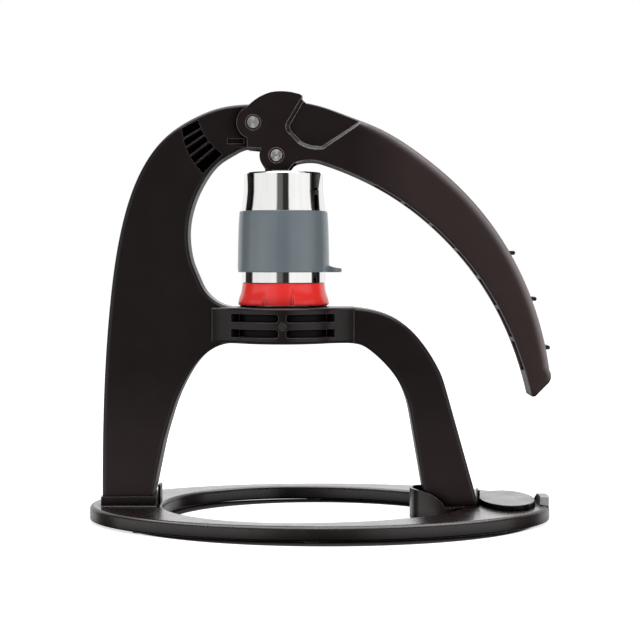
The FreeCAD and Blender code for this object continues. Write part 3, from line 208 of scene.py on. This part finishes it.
# noise in cycles per metre, heights of relief and distances in metres
TONE_NOISE = 14.0
GLOSS_NOISE = 60.0
GRAIN_NOISE = 900.0
RUBBER_TONE_NOISE = 30.0
RUBBER_GLOSS_NOISE = 120.0
RUBBER_GRAIN_NOISE = 1600.0
LATHE_NOISE = 2600.0
RUBBER_RELIEF = 0.05
LATHE_RELIEF = 0.12
GRAIN_HEIGHT = 0.0002
MARK_HEIGHT = 0.0001
LIP_WIDTH = 0.0007
RUBBER_ROUNDING = 0.0004
METAL_ROUNDING = 0.0002
PIN_RIM = (0.0037, 0.0040)


def moulded_plastic(name, tone, shade, rough_low, rough_high, edge_highlight_tone, rounding=0.0006, gloss=0.3,
                    relief=0.06, recess_shade_share=0.10, edge_start=EDGE_START, far_axis="X", far_tone=None,
                    far_range=(0.0, 1.0), far_rounding=None, back_highlight=None):
    """Injection-moulded plastic: a fine grain, painted shade in recesses, painted highlights along edges,
    slow changes of tone and gloss.

    The tone and the rounding of the edges may pass to others along an axis, from one place to another.
    A painted back highlight lightens the wide rounding along the outer edge of the part beyond that place."""
    made = Nodes(name)
    body = made.blend(made.spread(made.noise(TONE_NOISE, SMOOTH_DETAIL), 0.0, 1.0), tone, shade)
    softness = rounding
    if far_tone is not None:
        parts = made.add("ShaderNodeSeparateXYZ")
        made.link(made.place, parts, "Vector")
        along = parts.outputs[far_axis]
        beyond = made.spread(along, 0.0, 1.0, *far_range)
        body = made.blend(beyond, body, far_tone)
        if far_rounding is not None:
            softness = made.spread(along, rounding, far_rounding, *far_range)
        if back_highlight is not None:
            # painted highlight on the wide rounding along the part's outer edge
            body = made.blend(made.product(made.outer_rounding(far_rounding), beyond), body, back_highlight)
    # painted shade: the tone darkened to a share of itself in slots, corners and between parts
    recess = tuple(value * recess_shade_share for value in tone[:3]) + (1.0,)
    open_face = made.recesses(RECESS_REACH)
    shaded = made.blend(open_face, recess, body)
    # painted highlight: the colour lightened along edges, where a rounding would catch light
    painted_edge_highlight = made.blend(made.edges(rounding, edge_start), shaded, edge_highlight_tone)
    made.paint(painted_edge_highlight)
    made.rough(made.noise(GLOSS_NOISE, FINE_DETAIL), rough_low, rough_high)
    made.bump(made.noise(GRAIN_NOISE, SMOOTH_DETAIL), relief, GRAIN_HEIGHT, softness)
    made.link(made.spread(open_face, RECESS_GLOSS, gloss, 0.0, 1.0), made.shader, "Specular IOR Level")
    made.set(IOR=1.5)
    return made.material


def silicone(name, tone, shade, rough_low, rough_high, edge_highlight_tone=None):
    """Moulded silicone or rubber: an even tone, a soft gloss and a painted highlight on the lips."""
    made = Nodes(name)
    body = made.blend(made.spread(made.noise(RUBBER_TONE_NOISE, SMOOTH_DETAIL), 0.0, 1.0), tone, shade)
    if edge_highlight_tone is not None:
        # painted highlight: the colour lightened along the lips
        body = made.blend(made.edges(LIP_WIDTH), body, edge_highlight_tone)
    made.paint(body)
    made.rough(made.noise(RUBBER_GLOSS_NOISE, FINE_DETAIL), rough_low, rough_high)
    made.bump(made.noise(RUBBER_GRAIN_NOISE, SMOOTH_DETAIL), RUBBER_RELIEF, GRAIN_HEIGHT, RUBBER_ROUNDING)
    made.set(Specular_IOR_Level=0.5)
    return made.material


def metal(name, tone, shade, rough_low, rough_high, stretch=(1.0, 1.0, 1.0), scale=400.0, relief=0.05):
    """Steel or bronze: tool marks as stretched noise, in gloss and relief."""
    made = Nodes(name)
    marks = made.noise(scale, MARK_DETAIL, stretch)
    made.paint(made.blend(made.spread(marks, 0.0, 1.0), tone, shade))
    made.rough(marks, rough_low, rough_high)
    made.bump(marks, relief, MARK_HEIGHT, METAL_ROUNDING)
    made.set(Metallic=1.0)
    return made.material


PIN_BRIGHT = (0.95, 0.95, 0.94, 1.0)
PIN_DULL = (0.62, 0.62, 0.61, 1.0)


def turned_pin(name, centre):
    """The ends of a turned steel pin: rings round its axis, as a lathe tool leaves them."""
    made = Nodes(name)
    offset = made.add("ShaderNodeVectorMath", operation="SUBTRACT")
    offset.inputs[1].default_value = centre
    made.link(made.place, offset, 0)
    flat = made.add("ShaderNodeVectorMath", operation="MULTIPLY")
    flat.inputs[1].default_value = (1.0, 0.0, 1.0)
    made.link(offset.outputs[0], flat, 0)
    radius = made.add("ShaderNodeVectorMath", operation="LENGTH")
    made.link(flat.outputs[0], radius, 0)
    rings = made.add("ShaderNodeTexNoise", noise_dimensions="1D")
    rings.inputs["Scale"].default_value = LATHE_NOISE
    rings.inputs["Detail"].default_value = SMOOTH_DETAIL
    made.link(radius.outputs["Value"], rings, "W")
    around = made.add("ShaderNodeVectorMath", operation="CROSS_PRODUCT")
    around.inputs[1].default_value = (0.0, 1.0, 0.0)
    made.link(flat.outputs[0], around, 0)
    made.link(around.outputs[0], made.shader, "Tangent")
    body = made.blend(made.spread(rings.outputs["Fac"], 0.0, 1.0), PIN_BRIGHT, PIN_DULL)
    rim = made.spread(radius.outputs["Value"], 0.0, 1.0, *PIN_RIM)
    made.paint(made.blend(rim, body, RIM_GREY))
    made.rough(rings.outputs["Fac"], 0.28, 0.36)
    made.bump(rings.outputs["Fac"], LATHE_RELIEF, MARK_HEIGHT, METAL_ROUNDING)
    made.set(Metallic=1.0, Anisotropic=0.9)
    return made.material


# painted light: the stand's far tone makes it lighter towards the floor, as if lit from below
STAND_PLASTIC = moulded_plastic("stand_plastic", linear(24, 17, 17), linear(20, 14, 14), 0.28, 0.36,
                                EDGE_HIGHLIGHT_GREY, far_axis="Z", far_tone=linear(39, 30, 31), far_range=(0.10, 0.03))
RING_PLASTIC = moulded_plastic("ring_plastic", linear(34, 26, 26), linear(30, 22, 22), 0.24, 0.30,
                               EDGE_HIGHLIGHT_GREY, rounding=0.0004, gloss=0.6, relief=0.02)
# the lever: a painted back highlight on the outer rounding of its handle
LEVER_PLASTIC = moulded_plastic("lever_plastic", linear(27, 18, 18), linear(23, 15, 15), 0.32, 0.40,
                                LEVER_EDGE_HIGHLIGHT, far_tone=linear(43, 32, 32), far_range=(0.022, 0.06),
                                far_rounding=0.006, back_highlight=linear(122, 114, 114))
# painted highlight: the border's edge colour draws bright lines along the edges of the recess slope
BORDER_PLASTIC = moulded_plastic("border_plastic", linear(34, 26, 26), linear(28, 21, 21), 0.20, 0.28,
                                 linear(190, 182, 182), rounding=0.0006, gloss=0.5, edge_start=0.94)
PAD_PLASTIC = moulded_plastic("pad_plastic", linear(28, 23, 23), linear(23, 19, 19), 0.16, 0.24, EDGE_HIGHLIGHT_GREY,
                              rounding=0.0004, gloss=0.12)
INNER_PLASTIC = moulded_plastic("inner_plastic", linear(16, 14, 14), linear(13, 12, 12), 0.42, 0.55,
                                linear(60, 56, 56))
SEAT_PLASTIC = moulded_plastic("seat_plastic", linear(12, 11, 11), linear(9, 8, 8), 0.42, 0.55,
                               linear(16, 15, 15), gloss=0.06)
PISTON_PLASTIC = moulded_plastic("piston_plastic", linear(34, 34, 34), linear(28, 28, 28), 0.35, 0.45,
                                 linear(90, 90, 90))
RED_PLASTIC = moulded_plastic("red_plastic", linear(228, 50, 47), linear(220, 46, 43), 0.16, 0.22,
                              linear(246, 140, 132), gloss=0.5, relief=0.02, recess_shade_share=0.55)
BLACK_RUBBER = silicone("black_rubber", linear(20, 19, 19), linear(15, 14, 14), 0.55, 0.7)
BLACK_SILICONE = silicone("black_silicone", linear(26, 26, 27), linear(21, 21, 22), 0.5, 0.6)
RED_SILICONE = silicone("red_silicone", linear(176, 46, 40), linear(160, 40, 36), 0.45, 0.55)
GREY_SILICONE = silicone("grey_silicone", linear(98, 107, 112), linear(93, 102, 107), 0.20, 0.26,
                         linear(150, 162, 163))
POLISHED_STEEL = metal("polished_steel", (0.88, 0.88, 0.86, 1), (0.82, 0.82, 0.81, 1), 0.02, 0.045,
                       (1.0, 1.0, 0.05), 300.0, 0.01)
BRUSHED_STEEL = metal("brushed_steel", (0.62, 0.62, 0.61, 1), (0.50, 0.50, 0.49, 1), 0.22, 0.34,
                      (1.0, 1.0, 12.0), 90.0)
SCREW_STEEL = metal("screw_steel", (0.50, 0.50, 0.50, 1), (0.38, 0.38, 0.38, 1), 0.3, 0.45)
BLACK_SCREW = metal("black_screw", linear(150, 147, 145), linear(100, 98, 96), 0.22, 0.32)
BUSH_BRONZE = metal("bush_bronze", (0.55, 0.36, 0.17, 1), (0.44, 0.28, 0.13, 1), 0.25, 0.38)


def middle(node):
    """The centre of a CAD node's box."""
    low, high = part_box(node)
    return (low + high) / 2


FULCRUM_STEEL = turned_pin("fulcrum_steel", middle("fulcrum_pin"))
FOOT_STEEL = turned_pin("foot_steel", middle("foot_pin"))

NODE_MATERIALS = {
    "base_ring": RING_PLASTIC,
    "stand": STAND_PLASTIC,
    "lever": LEVER_PLASTIC,
    "lever_studs": BLACK_RUBBER,
    "rubber_feet": BLACK_RUBBER,
    "base_screws": SCREW_STEEL,
    "base_medallion": PAD_PLASTIC,
    "head_seat_ring": SEAT_PLASTIC,
    "collar_screw": BLACK_SCREW,
    "fulcrum_bush": BUSH_BRONZE,
    "foot_bush": BUSH_BRONZE,
    "fulcrum_pin": FULCRUM_STEEL,
    "foot_pin": FOOT_STEEL,
    "press_foot": INNER_PLASTIC,
    "brew_cylinder": POLISHED_STEEL,
    "thermal_sleeve": GREY_SILICONE,
    "portafilter_collar": RED_PLASTIC,
    "portafilter": BRUSHED_STEEL,
    "filter_basket": BRUSHED_STEEL,
    "cylinder_gasket": BLACK_SILICONE,
    "dispersion_screen": BRUSHED_STEEL,
    "piston_body": PISTON_PLASTIC,
    "piston_seal_lower": RED_SILICONE,
    "piston_seal_upper": RED_SILICONE,
    "piston_stem": BRUSHED_STEEL,
    "piston_cap": INNER_PLASTIC,
}


def dress_cad_nodes():
    """Each CAD node in its own material."""
    for name, material in NODE_MATERIALS.items():
        node = NODES[name]
        node.data.materials.clear()
        node.data.materials.append(material)


# Studio

# Grey level of what a polished surface sees, by bearing round the object: 0 is towards the camera,
# 90 to the right, 180 to the backdrop
STUDIO_BEARINGS = [
    (-180.0, 1.0),
    (-131.0, 1.0),
    (-127.0, 0.012),
    (-101.0, 0.012),
    (-97.0, 0.95),
    (-20.0, 1.0),
    (-15.5, 0.16),
    (-2.0, 0.13),
    (1.0, 0.03),
    (15.0, 0.03),
    (18.5, 1.06),
    (84.0, 1.06),
    (88.0, 0.012),
    (120.0, 0.012),
    (125.0, 1.0),
    (180.0, 1.0),
]
BACKGROUND_WHITE = 1.0
FILL_LEVEL = 0.55
DIM_ROOM = 0.10
PANEL_TOP = (0.30, 0.42)
OVERHEAD_LEVEL = 5.0
OVERHEAD_START = (0.70, 0.80)
BACKDROP_LEVEL = 2.2
BACKDROP_HEIGHT = (0.09, 0.15)
PANEL_BEARINGS = (math.radians(130.0), math.radians(110.0))
BACKDROP_BEARINGS = (math.radians(167.0), math.radians(173.0))


class World(Tree):
    """The nodes of the world."""

    def __init__(self, name):
        world = bpy.data.worlds.new(name)
        bpy.context.scene.world = world
        world.use_nodes = True
        super().__init__(world.node_tree)
        self.tree.nodes.clear()

    def step(self, value, start, end):
        """0 below start, 1 above end."""
        node = self.add("ShaderNodeMapRange", interpolation_type="SMOOTHSTEP")
        node.inputs["From Min"].default_value = start
        node.inputs["From Max"].default_value = end
        self.link(value, node, "Value")
        return node.outputs["Result"]

    def math(self, operation, first, second=None):
        node = self.add("ShaderNodeMath", operation=operation)
        self.feed(first, node, 0)
        if second is not None:
            self.feed(second, node, 1)
        return node.outputs[0]

    def mix(self, factor, first, second):
        """Grey levels mixed by a factor; each is a number or a node's output."""
        node = self.add("ShaderNodeMix", data_type="FLOAT")
        self.feed(first, node, "A")
        self.feed(second, node, "B")
        self.link(factor, node, "Factor")
        return node.outputs["Result"]

    def background(self, level):
        node = self.add("ShaderNodeBackground")
        node.inputs["Color"].default_value = (1.0, 1.0, 1.0, 1.0)
        self.feed(level, node, "Strength")
        return node.outputs[0]

    def choose(self, factor, first, second):
        node = self.add("ShaderNodeMixShader")
        self.link(factor, node, "Fac")
        self.link(first, node, 1)
        self.link(second, node, 2)
        return node.outputs[0]


def studio_world():
    """White behind the object, light panels either side of the camera, a gap between, a bright ceiling."""
    world = World("studio")
    direction = world.add("ShaderNodeTexCoord")
    parts = world.add("ShaderNodeSeparateXYZ")
    world.link(direction.outputs["Generated"], parts, "Vector")
    across, along, height = parts.outputs["X"], parts.outputs["Y"], parts.outputs["Z"]
    bearing = world.math("ARCTAN2", across, world.math("MULTIPLY", along, -1.0))
    share = world.add("ShaderNodeMapRange")
    share.inputs["From Min"].default_value = -math.pi
    share.inputs["From Max"].default_value = math.pi
    world.link(bearing, share, "Value")
    ramp = world.add("ShaderNodeValToRGB")
    stops = ramp.color_ramp.elements
    while len(stops) < len(STUDIO_BEARINGS):
        stops.new(0.5)
    for stop, (degrees, level) in zip(stops, STUDIO_BEARINGS):
        stop.position = (degrees + 180.0) / 360.0
        stop.color = (level, level, level, 1.0)
    world.link(share.outputs["Result"], ramp, "Fac")

    # panels end above eye level; straight behind, the low backdrop is in shade and its upper part is bright
    tilt = world.math("ABSOLUTE", height)
    turned = world.math("ABSOLUTE", bearing)
    in_front = world.step(turned, *PANEL_BEARINGS)
    ends = world.math("MULTIPLY", world.step(tilt, *PANEL_TOP), in_front)
    around = world.mix(ends, ramp.outputs["Color"], DIM_ROOM)
    behind = world.step(turned, *BACKDROP_BEARINGS)
    backdrop = world.mix(world.step(height, *BACKDROP_HEIGHT), DIM_ROOM, BACKDROP_LEVEL)
    room = world.mix(behind, around, backdrop)
    room = world.mix(world.step(height, *OVERHEAD_START), room, OVERHEAD_LEVEL)

    path = world.add("ShaderNodeLightPath")
    lit = world.choose(path.outputs["Is Glossy Ray"], world.background(FILL_LEVEL), world.background(room))
    shown = world.math("MAXIMUM", path.outputs["Is Camera Ray"], path.outputs["Is Transmission Ray"])
    final = world.choose(shown, lit, world.background(BACKGROUND_WHITE))
    output = world.add("ShaderNodeOutputWorld")
    world.link(final, output, "Surface")


FLOOR_REACH = 6.0
FLOOR_ROUGHNESS = 0.9
FLOOR_GLOW = 0.6
FLOOR_WHITE = (0.92, 0.92, 0.92, 1.0)
FLOOR_SHADOW = (0.065, 0.062, 0.060, 1.0)
SHADOW_CENTRE = (0.004, -0.007)
SHADOW_HALF_SIZE = (0.136, 0.0955)
SHADOW_EDGE = (0.985, 1.005)
OPENING_SHADOW_CENTRE = (-0.002, -0.007)
OPENING_HALF_SIZE = (0.096, 0.078)


def studio_floor():
    """A white floor that joins the white background, with a painted shadow: a dark line along the ring."""
    mesh = bpy.data.meshes.new("floor")
    corners = [(-FLOOR_REACH, -FLOOR_REACH, 0.0), (FLOOR_REACH, -FLOOR_REACH, 0.0),
               (FLOOR_REACH, FLOOR_REACH, 0.0), (-FLOOR_REACH, FLOOR_REACH, 0.0)]
    mesh.from_pydata(corners, [], [(0, 1, 2, 3)])
    floor = bpy.data.objects.new("floor", mesh)
    bpy.context.scene.collection.objects.link(floor)
    made = Nodes("floor_white")
    made.set(Roughness=FLOOR_ROUGHNESS, Specular_IOR_Level=0.0)

    def oval(centre, half_size):
        """Distance from the centre as a share of the oval's radius there."""
        mapping = made.add("ShaderNodeMapping", vector_type="TEXTURE")
        mapping.inputs["Location"].default_value = (centre[0], centre[1], 0.0)
        mapping.inputs["Scale"].default_value = (half_size[0], half_size[1], 1.0)
        made.link(made.place, mapping, "Vector")
        length = made.add("ShaderNodeVectorMath", operation="LENGTH")
        made.link(mapping.outputs["Vector"], length, 0)
        return length.outputs["Value"]

    outside = made.spread(oval(SHADOW_CENTRE, SHADOW_HALF_SIZE), 0.0, 1.0, *SHADOW_EDGE)
    inside = made.spread(oval(OPENING_SHADOW_CENTRE, OPENING_HALF_SIZE), 1.0, 0.0, *SHADOW_EDGE)
    clear = made.add("ShaderNodeMath", operation="MAXIMUM")
    made.link(outside, clear, 0)
    made.link(inside, clear, 1)
    # painted shadow: a dark floor colour, without glow, under the ring and just in front of it
    made.paint(made.blend(clear.outputs[0], FLOOR_SHADOW, FLOOR_WHITE))
    glow = made.add("ShaderNodeEmission")
    glow.inputs["Color"].default_value = (1.0, 1.0, 1.0, 1.0)
    made.link(made.spread(clear.outputs[0], 0.0, FLOOR_GLOW, 0.0, 1.0), glow, "Strength")
    both = made.add("ShaderNodeAddShader")
    made.link(made.shader.outputs[0], both, 0)
    made.link(glow.outputs[0], both, 1)
    path = made.add("ShaderNodeLightPath")
    mix = made.add("ShaderNodeMixShader")
    made.link(path.outputs["Is Camera Ray"], mix, "Fac")
    made.link(made.shader.outputs[0], mix, 1)
    made.link(both.outputs[0], mix, 2)
    clear_glass = made.add("ShaderNodeBsdfTransparent")
    mirrored = made.add("ShaderNodeMixShader")
    made.link(path.outputs["Is Glossy Ray"], mirrored, "Fac")
    made.link(mix.outputs[0], mirrored, 1)
    made.link(clear_glass.outputs[0], mirrored, 2)
    made.link(mirrored.outputs[0], made.tree.nodes["Material Output"], "Surface")
    mesh.materials.append(made.material)


LAMP_AIM = (0.0, 0.0, 0.12)


def area_lamp(name, place, size, watts):
    """A soft lamp aimed at the middle of the object, which neither the camera nor reflections show."""
    lamp = bpy.data.lights.new(name, "AREA")
    lamp.shape = "RECTANGLE"
    lamp.size, lamp.size_y = size
    lamp.energy = watts
    lamp_object = bpy.data.objects.new(name, lamp)
    bpy.context.scene.collection.objects.link(lamp_object)
    lamp_object.location = place
    lamp_object.rotation_mode = "QUATERNION"
    lamp_object.rotation_quaternion = (Vector(LAMP_AIM) - Vector(place)).to_track_quat("-Z", "Y")
    lamp_object.visible_glossy = False
    lamp_object.visible_camera = False


def studio_lamps():
    area_lamp("left_panel", place=(-0.70, -0.50, 0.12), size=(0.3, 0.5), watts=3.6)
    area_lamp("right_panel", place=(0.70, -0.45, 0.14), size=(0.3, 0.5), watts=4.2)
    area_lamp("top_panel", place=(0.0, 0.3, 1.6), size=(1.4, 1.2), watts=10.0)


def studio_camera():
    camera = bpy.data.cameras.new("camera")
    camera.sensor_width = SENSOR_MM
    camera.lens = FOCAL_PIXELS / FRAME_PIXELS * SENSOR_MM
    camera_object = bpy.data.objects.new("camera", camera)
    bpy.context.scene.collection.objects.link(camera_object)
    pitch = math.atan((FRAME_PIXELS / 2 - HORIZON_ROW) / FOCAL_PIXELS)
    camera_object.location = (CAMERA_SIDE, -CAMERA_DISTANCE, CAMERA_HEIGHT)
    camera_object.rotation_euler = (math.pi / 2 - pitch, 0.0, 0.0)
    bpy.context.scene.camera = camera_object


def studio():
    bpy.context.scene.view_settings.view_transform = "Standard"
    studio_camera()
    studio_world()
    studio_floor()
    studio_lamps()


# Pieces: their sizes are written in millimetres, and their meshes are in metres

CREASE = math.radians(32.0)
COLLAR_CREASE = math.radians(40.0)
WELD_DISTANCE = 1e-6
MITRE_LIMIT = 0.4


def smooth(mesh, crease):
    """Smooth shading, with sharp edges where faces meet at more than the crease angle."""
    for polygon in mesh.polygons:
        polygon.use_smooth = True
    mesh.set_sharp_from_angle(angle=crease)


def scene_object(name, work):
    """An object in the scene from a finished bmesh."""
    bmesh.ops.recalc_face_normals(work, faces=work.faces)
    mesh = bpy.data.meshes.new(name)
    work.to_mesh(mesh)
    work.free()
    made = bpy.data.objects.new(name, mesh)
    bpy.context.scene.collection.objects.link(made)
    return made


def new_piece(name, work, material, body, crease=CREASE):
    """A piece from a finished bmesh, shaded smooth between creases, riding on its body."""
    piece = scene_object(name, work)
    smooth(piece.data, crease)
    piece.data.materials.append(material)
    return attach(piece, body)


def combine(piece, tool, operation):
    """Joins or cuts a piece with a tool object, which is then deleted."""
    change = piece.modifiers.new(operation.lower(), "BOOLEAN")
    change.operation = operation
    change.solver = "EXACT"
    change.object = tool
    settled = bpy.data.meshes.new_from_object(piece.evaluated_get(bpy.context.evaluated_depsgraph_get()))
    piece.modifiers.clear()
    piece.data = settled
    bpy.data.objects.remove(tool)


def strip(work, loops, closed=True):
    """Quads between each loop of vertices and the next; the last joins the first when closed."""
    pairs = list(zip(loops, loops[1:]))
    if closed:
        pairs.append((loops[-1], loops[0]))
    for lower, upper in pairs:
        count = len(lower)
        for number in range(count):
            following = (number + 1) % count
            work.faces.new((lower[number], lower[following], upper[following], upper[number]))


def arc_points(start, through, end, steps):
    """Points after start, up to and with end, on the arc through three points."""
    ax, ay = start
    bx, by = through
    cx, cy = end
    a_square = ax * ax + ay * ay
    b_square = bx * bx + by * by
    c_square = cx * cx + cy * cy
    twice = 2 * (ax * (by - cy) + bx * (cy - ay) + cx * (ay - by))
    middle_x = (a_square * (by - cy) + b_square * (cy - ay) + c_square * (ay - by)) / twice
    middle_y = (a_square * (cx - bx) + b_square * (ax - cx) + c_square * (bx - ax)) / twice
    first = math.atan2(ay - middle_y, ax - middle_x)
    last = math.atan2(cy - middle_y, cx - middle_x)
    turn = (last - first + math.pi) % (2 * math.pi) - math.pi
    radius = math.hypot(ax - middle_x, ay - middle_y)
    angles = [first + turn * step / steps for step in range(1, steps + 1)]
    return [(middle_x + radius * math.cos(angle), middle_y + radius * math.sin(angle)) for angle in angles]


def grown(outline, distance):
    """A closed outline moved outwards by a distance."""
    following = outline[1:] + outline[:1]
    area = sum(here[0] * there[1] - there[0] * here[1] for here, there in zip(outline, following))
    side = 1.0 if area > 0 else -1.0
    moved = []
    for previous, here, there in zip(outline[-1:] + outline[:-1], outline, following):
        before = Vector(here) - Vector(previous)
        after = Vector(there) - Vector(here)
        normal = Vector((before.y, -before.x)).normalized() + Vector((after.y, -after.x)).normalized()
        normal.normalize()
        lean = normal.dot(Vector((after.y, -after.x)).normalized())
        moved.append(tuple(Vector(here) + normal * (side * distance / max(lean, MITRE_LIMIT))))
    return moved


def distance_to(outline, x, z):
    """From a point to the nearest side of a closed outline."""
    point = Vector((x, z))
    nearest = math.inf
    for start, end in zip(outline, outline[1:] + outline[:1]):
        side = Vector(end) - Vector(start)
        share = (point - Vector(start)).dot(side) / side.length_squared
        foot = Vector(start) + side * min(max(share, 0.0), 1.0)
        nearest = min(nearest, (point - foot).length)
    return nearest


PANEL_SLOPE = 2.5
PANEL_DEPTH = 2.5
FORK_HALF = 17.5
# the cutting tool's slope runs on past the fork's side, to this many times its depth
SLOPE_RISE = 1.6
SLOPE_START = 0.01
BORDER_LEAN = (0.55, 0.85)
BORDER_MARGIN = 0.1


def panel_outline():
    """The U-shaped recess in the lever's sides, from the fulcrum, in millimetres."""
    outline = [(31.9, 13.2), (23.4, -1.3)]
    outline += arc_points((23.4, -1.3), (23.3, -3.6), (24.6, -5.5), 5)
    outline += [(29.9, -11.3)]
    outline += arc_points((29.9, -11.3), (35.6, -14.2), (42.3, -15.0), 8)
    outline += arc_points((42.3, -15.0), (44.0, -14.9), (45.6, -13.8), 5)
    outline += [(54.2, -8.2), (70.0, 2.2), (66.5, 9.0), (45.0, 21.0)]
    return outline


def lever_shell():
    """The lever with the sloping border of its side recesses."""
    work = bmesh.new()
    work.from_mesh(NODES["lever"].data)
    bmesh.ops.remove_doubles(work, verts=work.verts, dist=WELD_DISTANCE)
    shell = new_piece("lever_shell", work, LEVER_PLASTIC, "lever_body")
    fulcrum = middle("fulcrum_pin")
    inner = panel_outline()
    outer = grown(inner, PANEL_SLOPE * SLOPE_RISE)
    bottom = FORK_HALF - PANEL_DEPTH + SLOPE_START
    top = FORK_HALF + (SLOPE_RISE - 1) * PANEL_DEPTH
    for side in (-1.0, 1.0):
        work = bmesh.new()
        loops = []
        for outline, reach in ((inner, bottom), (outer, top)):
            loops.append([work.verts.new((fulcrum.x + x * MM, side * reach * MM, fulcrum.z + z * MM))
                          for x, z in outline])
        strip(work, loops, closed=False)
        work.faces.new(loops[0])
        work.faces.new(loops[1])
        combine(shell, scene_object("panel_slope", work), "DIFFERENCE")
    finish_shell(shell)
    dress_border(shell, inner, fulcrum)
    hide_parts("lever")


def dress_border(shell, inner, fulcrum):
    """The sloping faces round the recess in the border material, which paints bright highlight lines along
    their edges.
    """
    shell.data.materials.append(BORDER_PLASTIC)
    for polygon in shell.data.polygons:
        x = (polygon.center.x - fulcrum.x) / MM
        z = (polygon.center.z - fulcrum.z) / MM
        depth = FORK_HALF - abs(polygon.center.y) / MM
        sloping = BORDER_LEAN[0] < abs(polygon.normal.y) < BORDER_LEAN[1]
        cut = -BORDER_MARGIN < depth < PANEL_DEPTH + BORDER_MARGIN
        if sloping and cut and distance_to(inner, x, z) < PANEL_SLOPE * SLOPE_RISE:
            polygon.material_index = 1


def finish_shell(shell):
    """Smooth shading in place of the carried-over normals, weighted by area so that flats stay flat."""
    if shell.data.has_custom_normals:
        shell.data.attributes.remove(shell.data.attributes["custom_normal"])
    smooth(shell.data, CREASE)
    flats = shell.modifiers.new("flats", "WEIGHTED_NORMAL")
    flats.keep_sharp = True
    flats.weight = 100


COLLAR_STEPS = 240
COLLAR_NOTCH_MIDDLE = math.radians(-6.3)
COLLAR_NOTCH_HALF = math.radians(20.3)
COLLAR_NOTCH_RADIUS = 26.9
COLLAR_NOTCH_EDGE = math.radians(1.5)
COLLAR_THIRD = 2 * math.pi / 3


def collar_ring():
    """The red ring of the brew head: a flared skirt, cut back in three places into grips."""
    low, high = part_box("portafilter_collar")
    base, top = low.z / MM, high.z / MM
    axis = middle("brew_cylinder")
    # radius and height, up the outside and down the inside
    outside = [(28.9, base), (29.3, base + 0.3), (29.45, base + 0.8), (29.4, base + 2.0), (29.0, base + 3.7),
               (28.3, base + 5.7), (27.6, base + 7.6), (27.2, base + 9.6), (26.9, base + 11.5),
               (26.7, top - 0.9), (26.5, top - 0.3), (26.1, top)]
    inside = [(25.2, top), (25.2, base + 1.8), (24.0, base + 1.8), (24.0, base)]
    work = bmesh.new()
    loops = []
    for radius, z in outside + inside:
        loop = []
        for step in range(COLLAR_STEPS):
            angle = 2 * math.pi * step / COLLAR_STEPS
            third = (angle - COLLAR_NOTCH_MIDDLE + COLLAR_THIRD / 2) % COLLAR_THIRD - COLLAR_THIRD / 2
            away = (abs(third) - COLLAR_NOTCH_HALF) / COLLAR_NOTCH_EDGE + 0.5
            share = min(max(away, 0.0), 1.0)
            here = min(radius, COLLAR_NOTCH_RADIUS) * (1 - share) + radius * share
            across, along = here * MM * math.sin(angle), -here * MM * math.cos(angle)
            loop.append(work.verts.new((axis.x + across, along, z * MM)))
        loops.append(loop)
    strip(work, loops)
    ring = new_piece("collar_ring", work, RED_PLASTIC, "head_body", COLLAR_CREASE)
    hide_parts("portafilter_collar")


SLEEVE_STEPS = 160
SLEEVE_BORE = 26.95
TAB_STEPS = 16
TAB_HALF = 6.5
TAB_ROUND = 0.5
TAB_SINK = 1.2
TAB_TIP = 2.6
TAB_ROOT_RISE = 2.2


def sleeve():
    """The silicone band on the cylinder: slightly barrelled, thin lips, a pull tab with a thick root."""
    low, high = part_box("thermal_sleeve")
    base, top = low.z / MM, high.z / MM
    axis = middle("brew_cylinder")
    wide = -low.y / MM
    outside = [(wide - 1.0, base), (wide - 0.3, base + 0.2), (wide, base + 0.9), (wide, base + 5.0),
               (wide - 0.15, base + 14.0), (wide - 0.4, base + 25.0), (wide - 0.8, base + 34.0),
               (wide - 1.15, top - 0.8), (wide - 1.5, top - 0.2), (wide - 1.9, top)]
    inside = [(SLEEVE_BORE, top), (SLEEVE_BORE, base)]
    work = bmesh.new()
    loops = []
    for radius, z in outside + inside:
        loops.append([work.verts.new((axis.x + radius * MM * math.cos(2 * math.pi * step / SLEEVE_STEPS),
                                      radius * MM * math.sin(2 * math.pi * step / SLEEVE_STEPS), z * MM))
                      for step in range(SLEEVE_STEPS)])
    strip(work, loops)
    band = new_piece("sleeve", work, GREY_SILICONE, "head_body")

    # pull tab: half round in plan, its upper face falling from the root to the tip
    root = wide - TAB_SINK
    reach = high.x / MM - axis.x / MM
    turn = [math.radians(-90.0 + 180.0 * step / TAB_STEPS) for step in range(TAB_STEPS + 1)]

    def plan(inset):
        radius = TAB_HALF - inset
        tip = [(reach - TAB_HALF + radius * math.cos(angle), radius * math.sin(angle)) for angle in turn]
        return [(root, -radius)] + tip + [(root, radius)]

    def upper(x):
        fall = min(max((x - root) / (reach - root), 0.0), 1.0)
        return base + TAB_TIP + TAB_ROOT_RISE * (1 - fall) ** 2

    work = bmesh.new()
    loops = []
    for inset, level in ((TAB_ROUND, 0), (0.0, 1), (0.0, 2), (TAB_ROUND, 3)):
        loop = []
        for x, y in plan(inset):
            heights = (base, base + TAB_ROUND, upper(x) - TAB_ROUND, upper(x))
            loop.append(work.verts.new((axis.x + x * MM, y * MM, heights[level] * MM)))
        loops.append(loop)
    strip(work, loops, closed=False)
    work.faces.new(loops[0])
    count = len(loops[3])
    for number in range(count // 2 - 1):
        work.faces.new((loops[3][number], loops[3][number + 1],
                        loops[3][count - 2 - number], loops[3][count - 1 - number]))
    if count % 2:
        work.faces.new((loops[3][count // 2 - 1], loops[3][count // 2], loops[3][count // 2 + 1]))
    combine(band, scene_object("tab", work), "UNION")
    finish_shell(band)
    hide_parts("thermal_sleeve")


dress_cad_nodes()
lever_shell()
collar_ring()
sleeve()
studio()
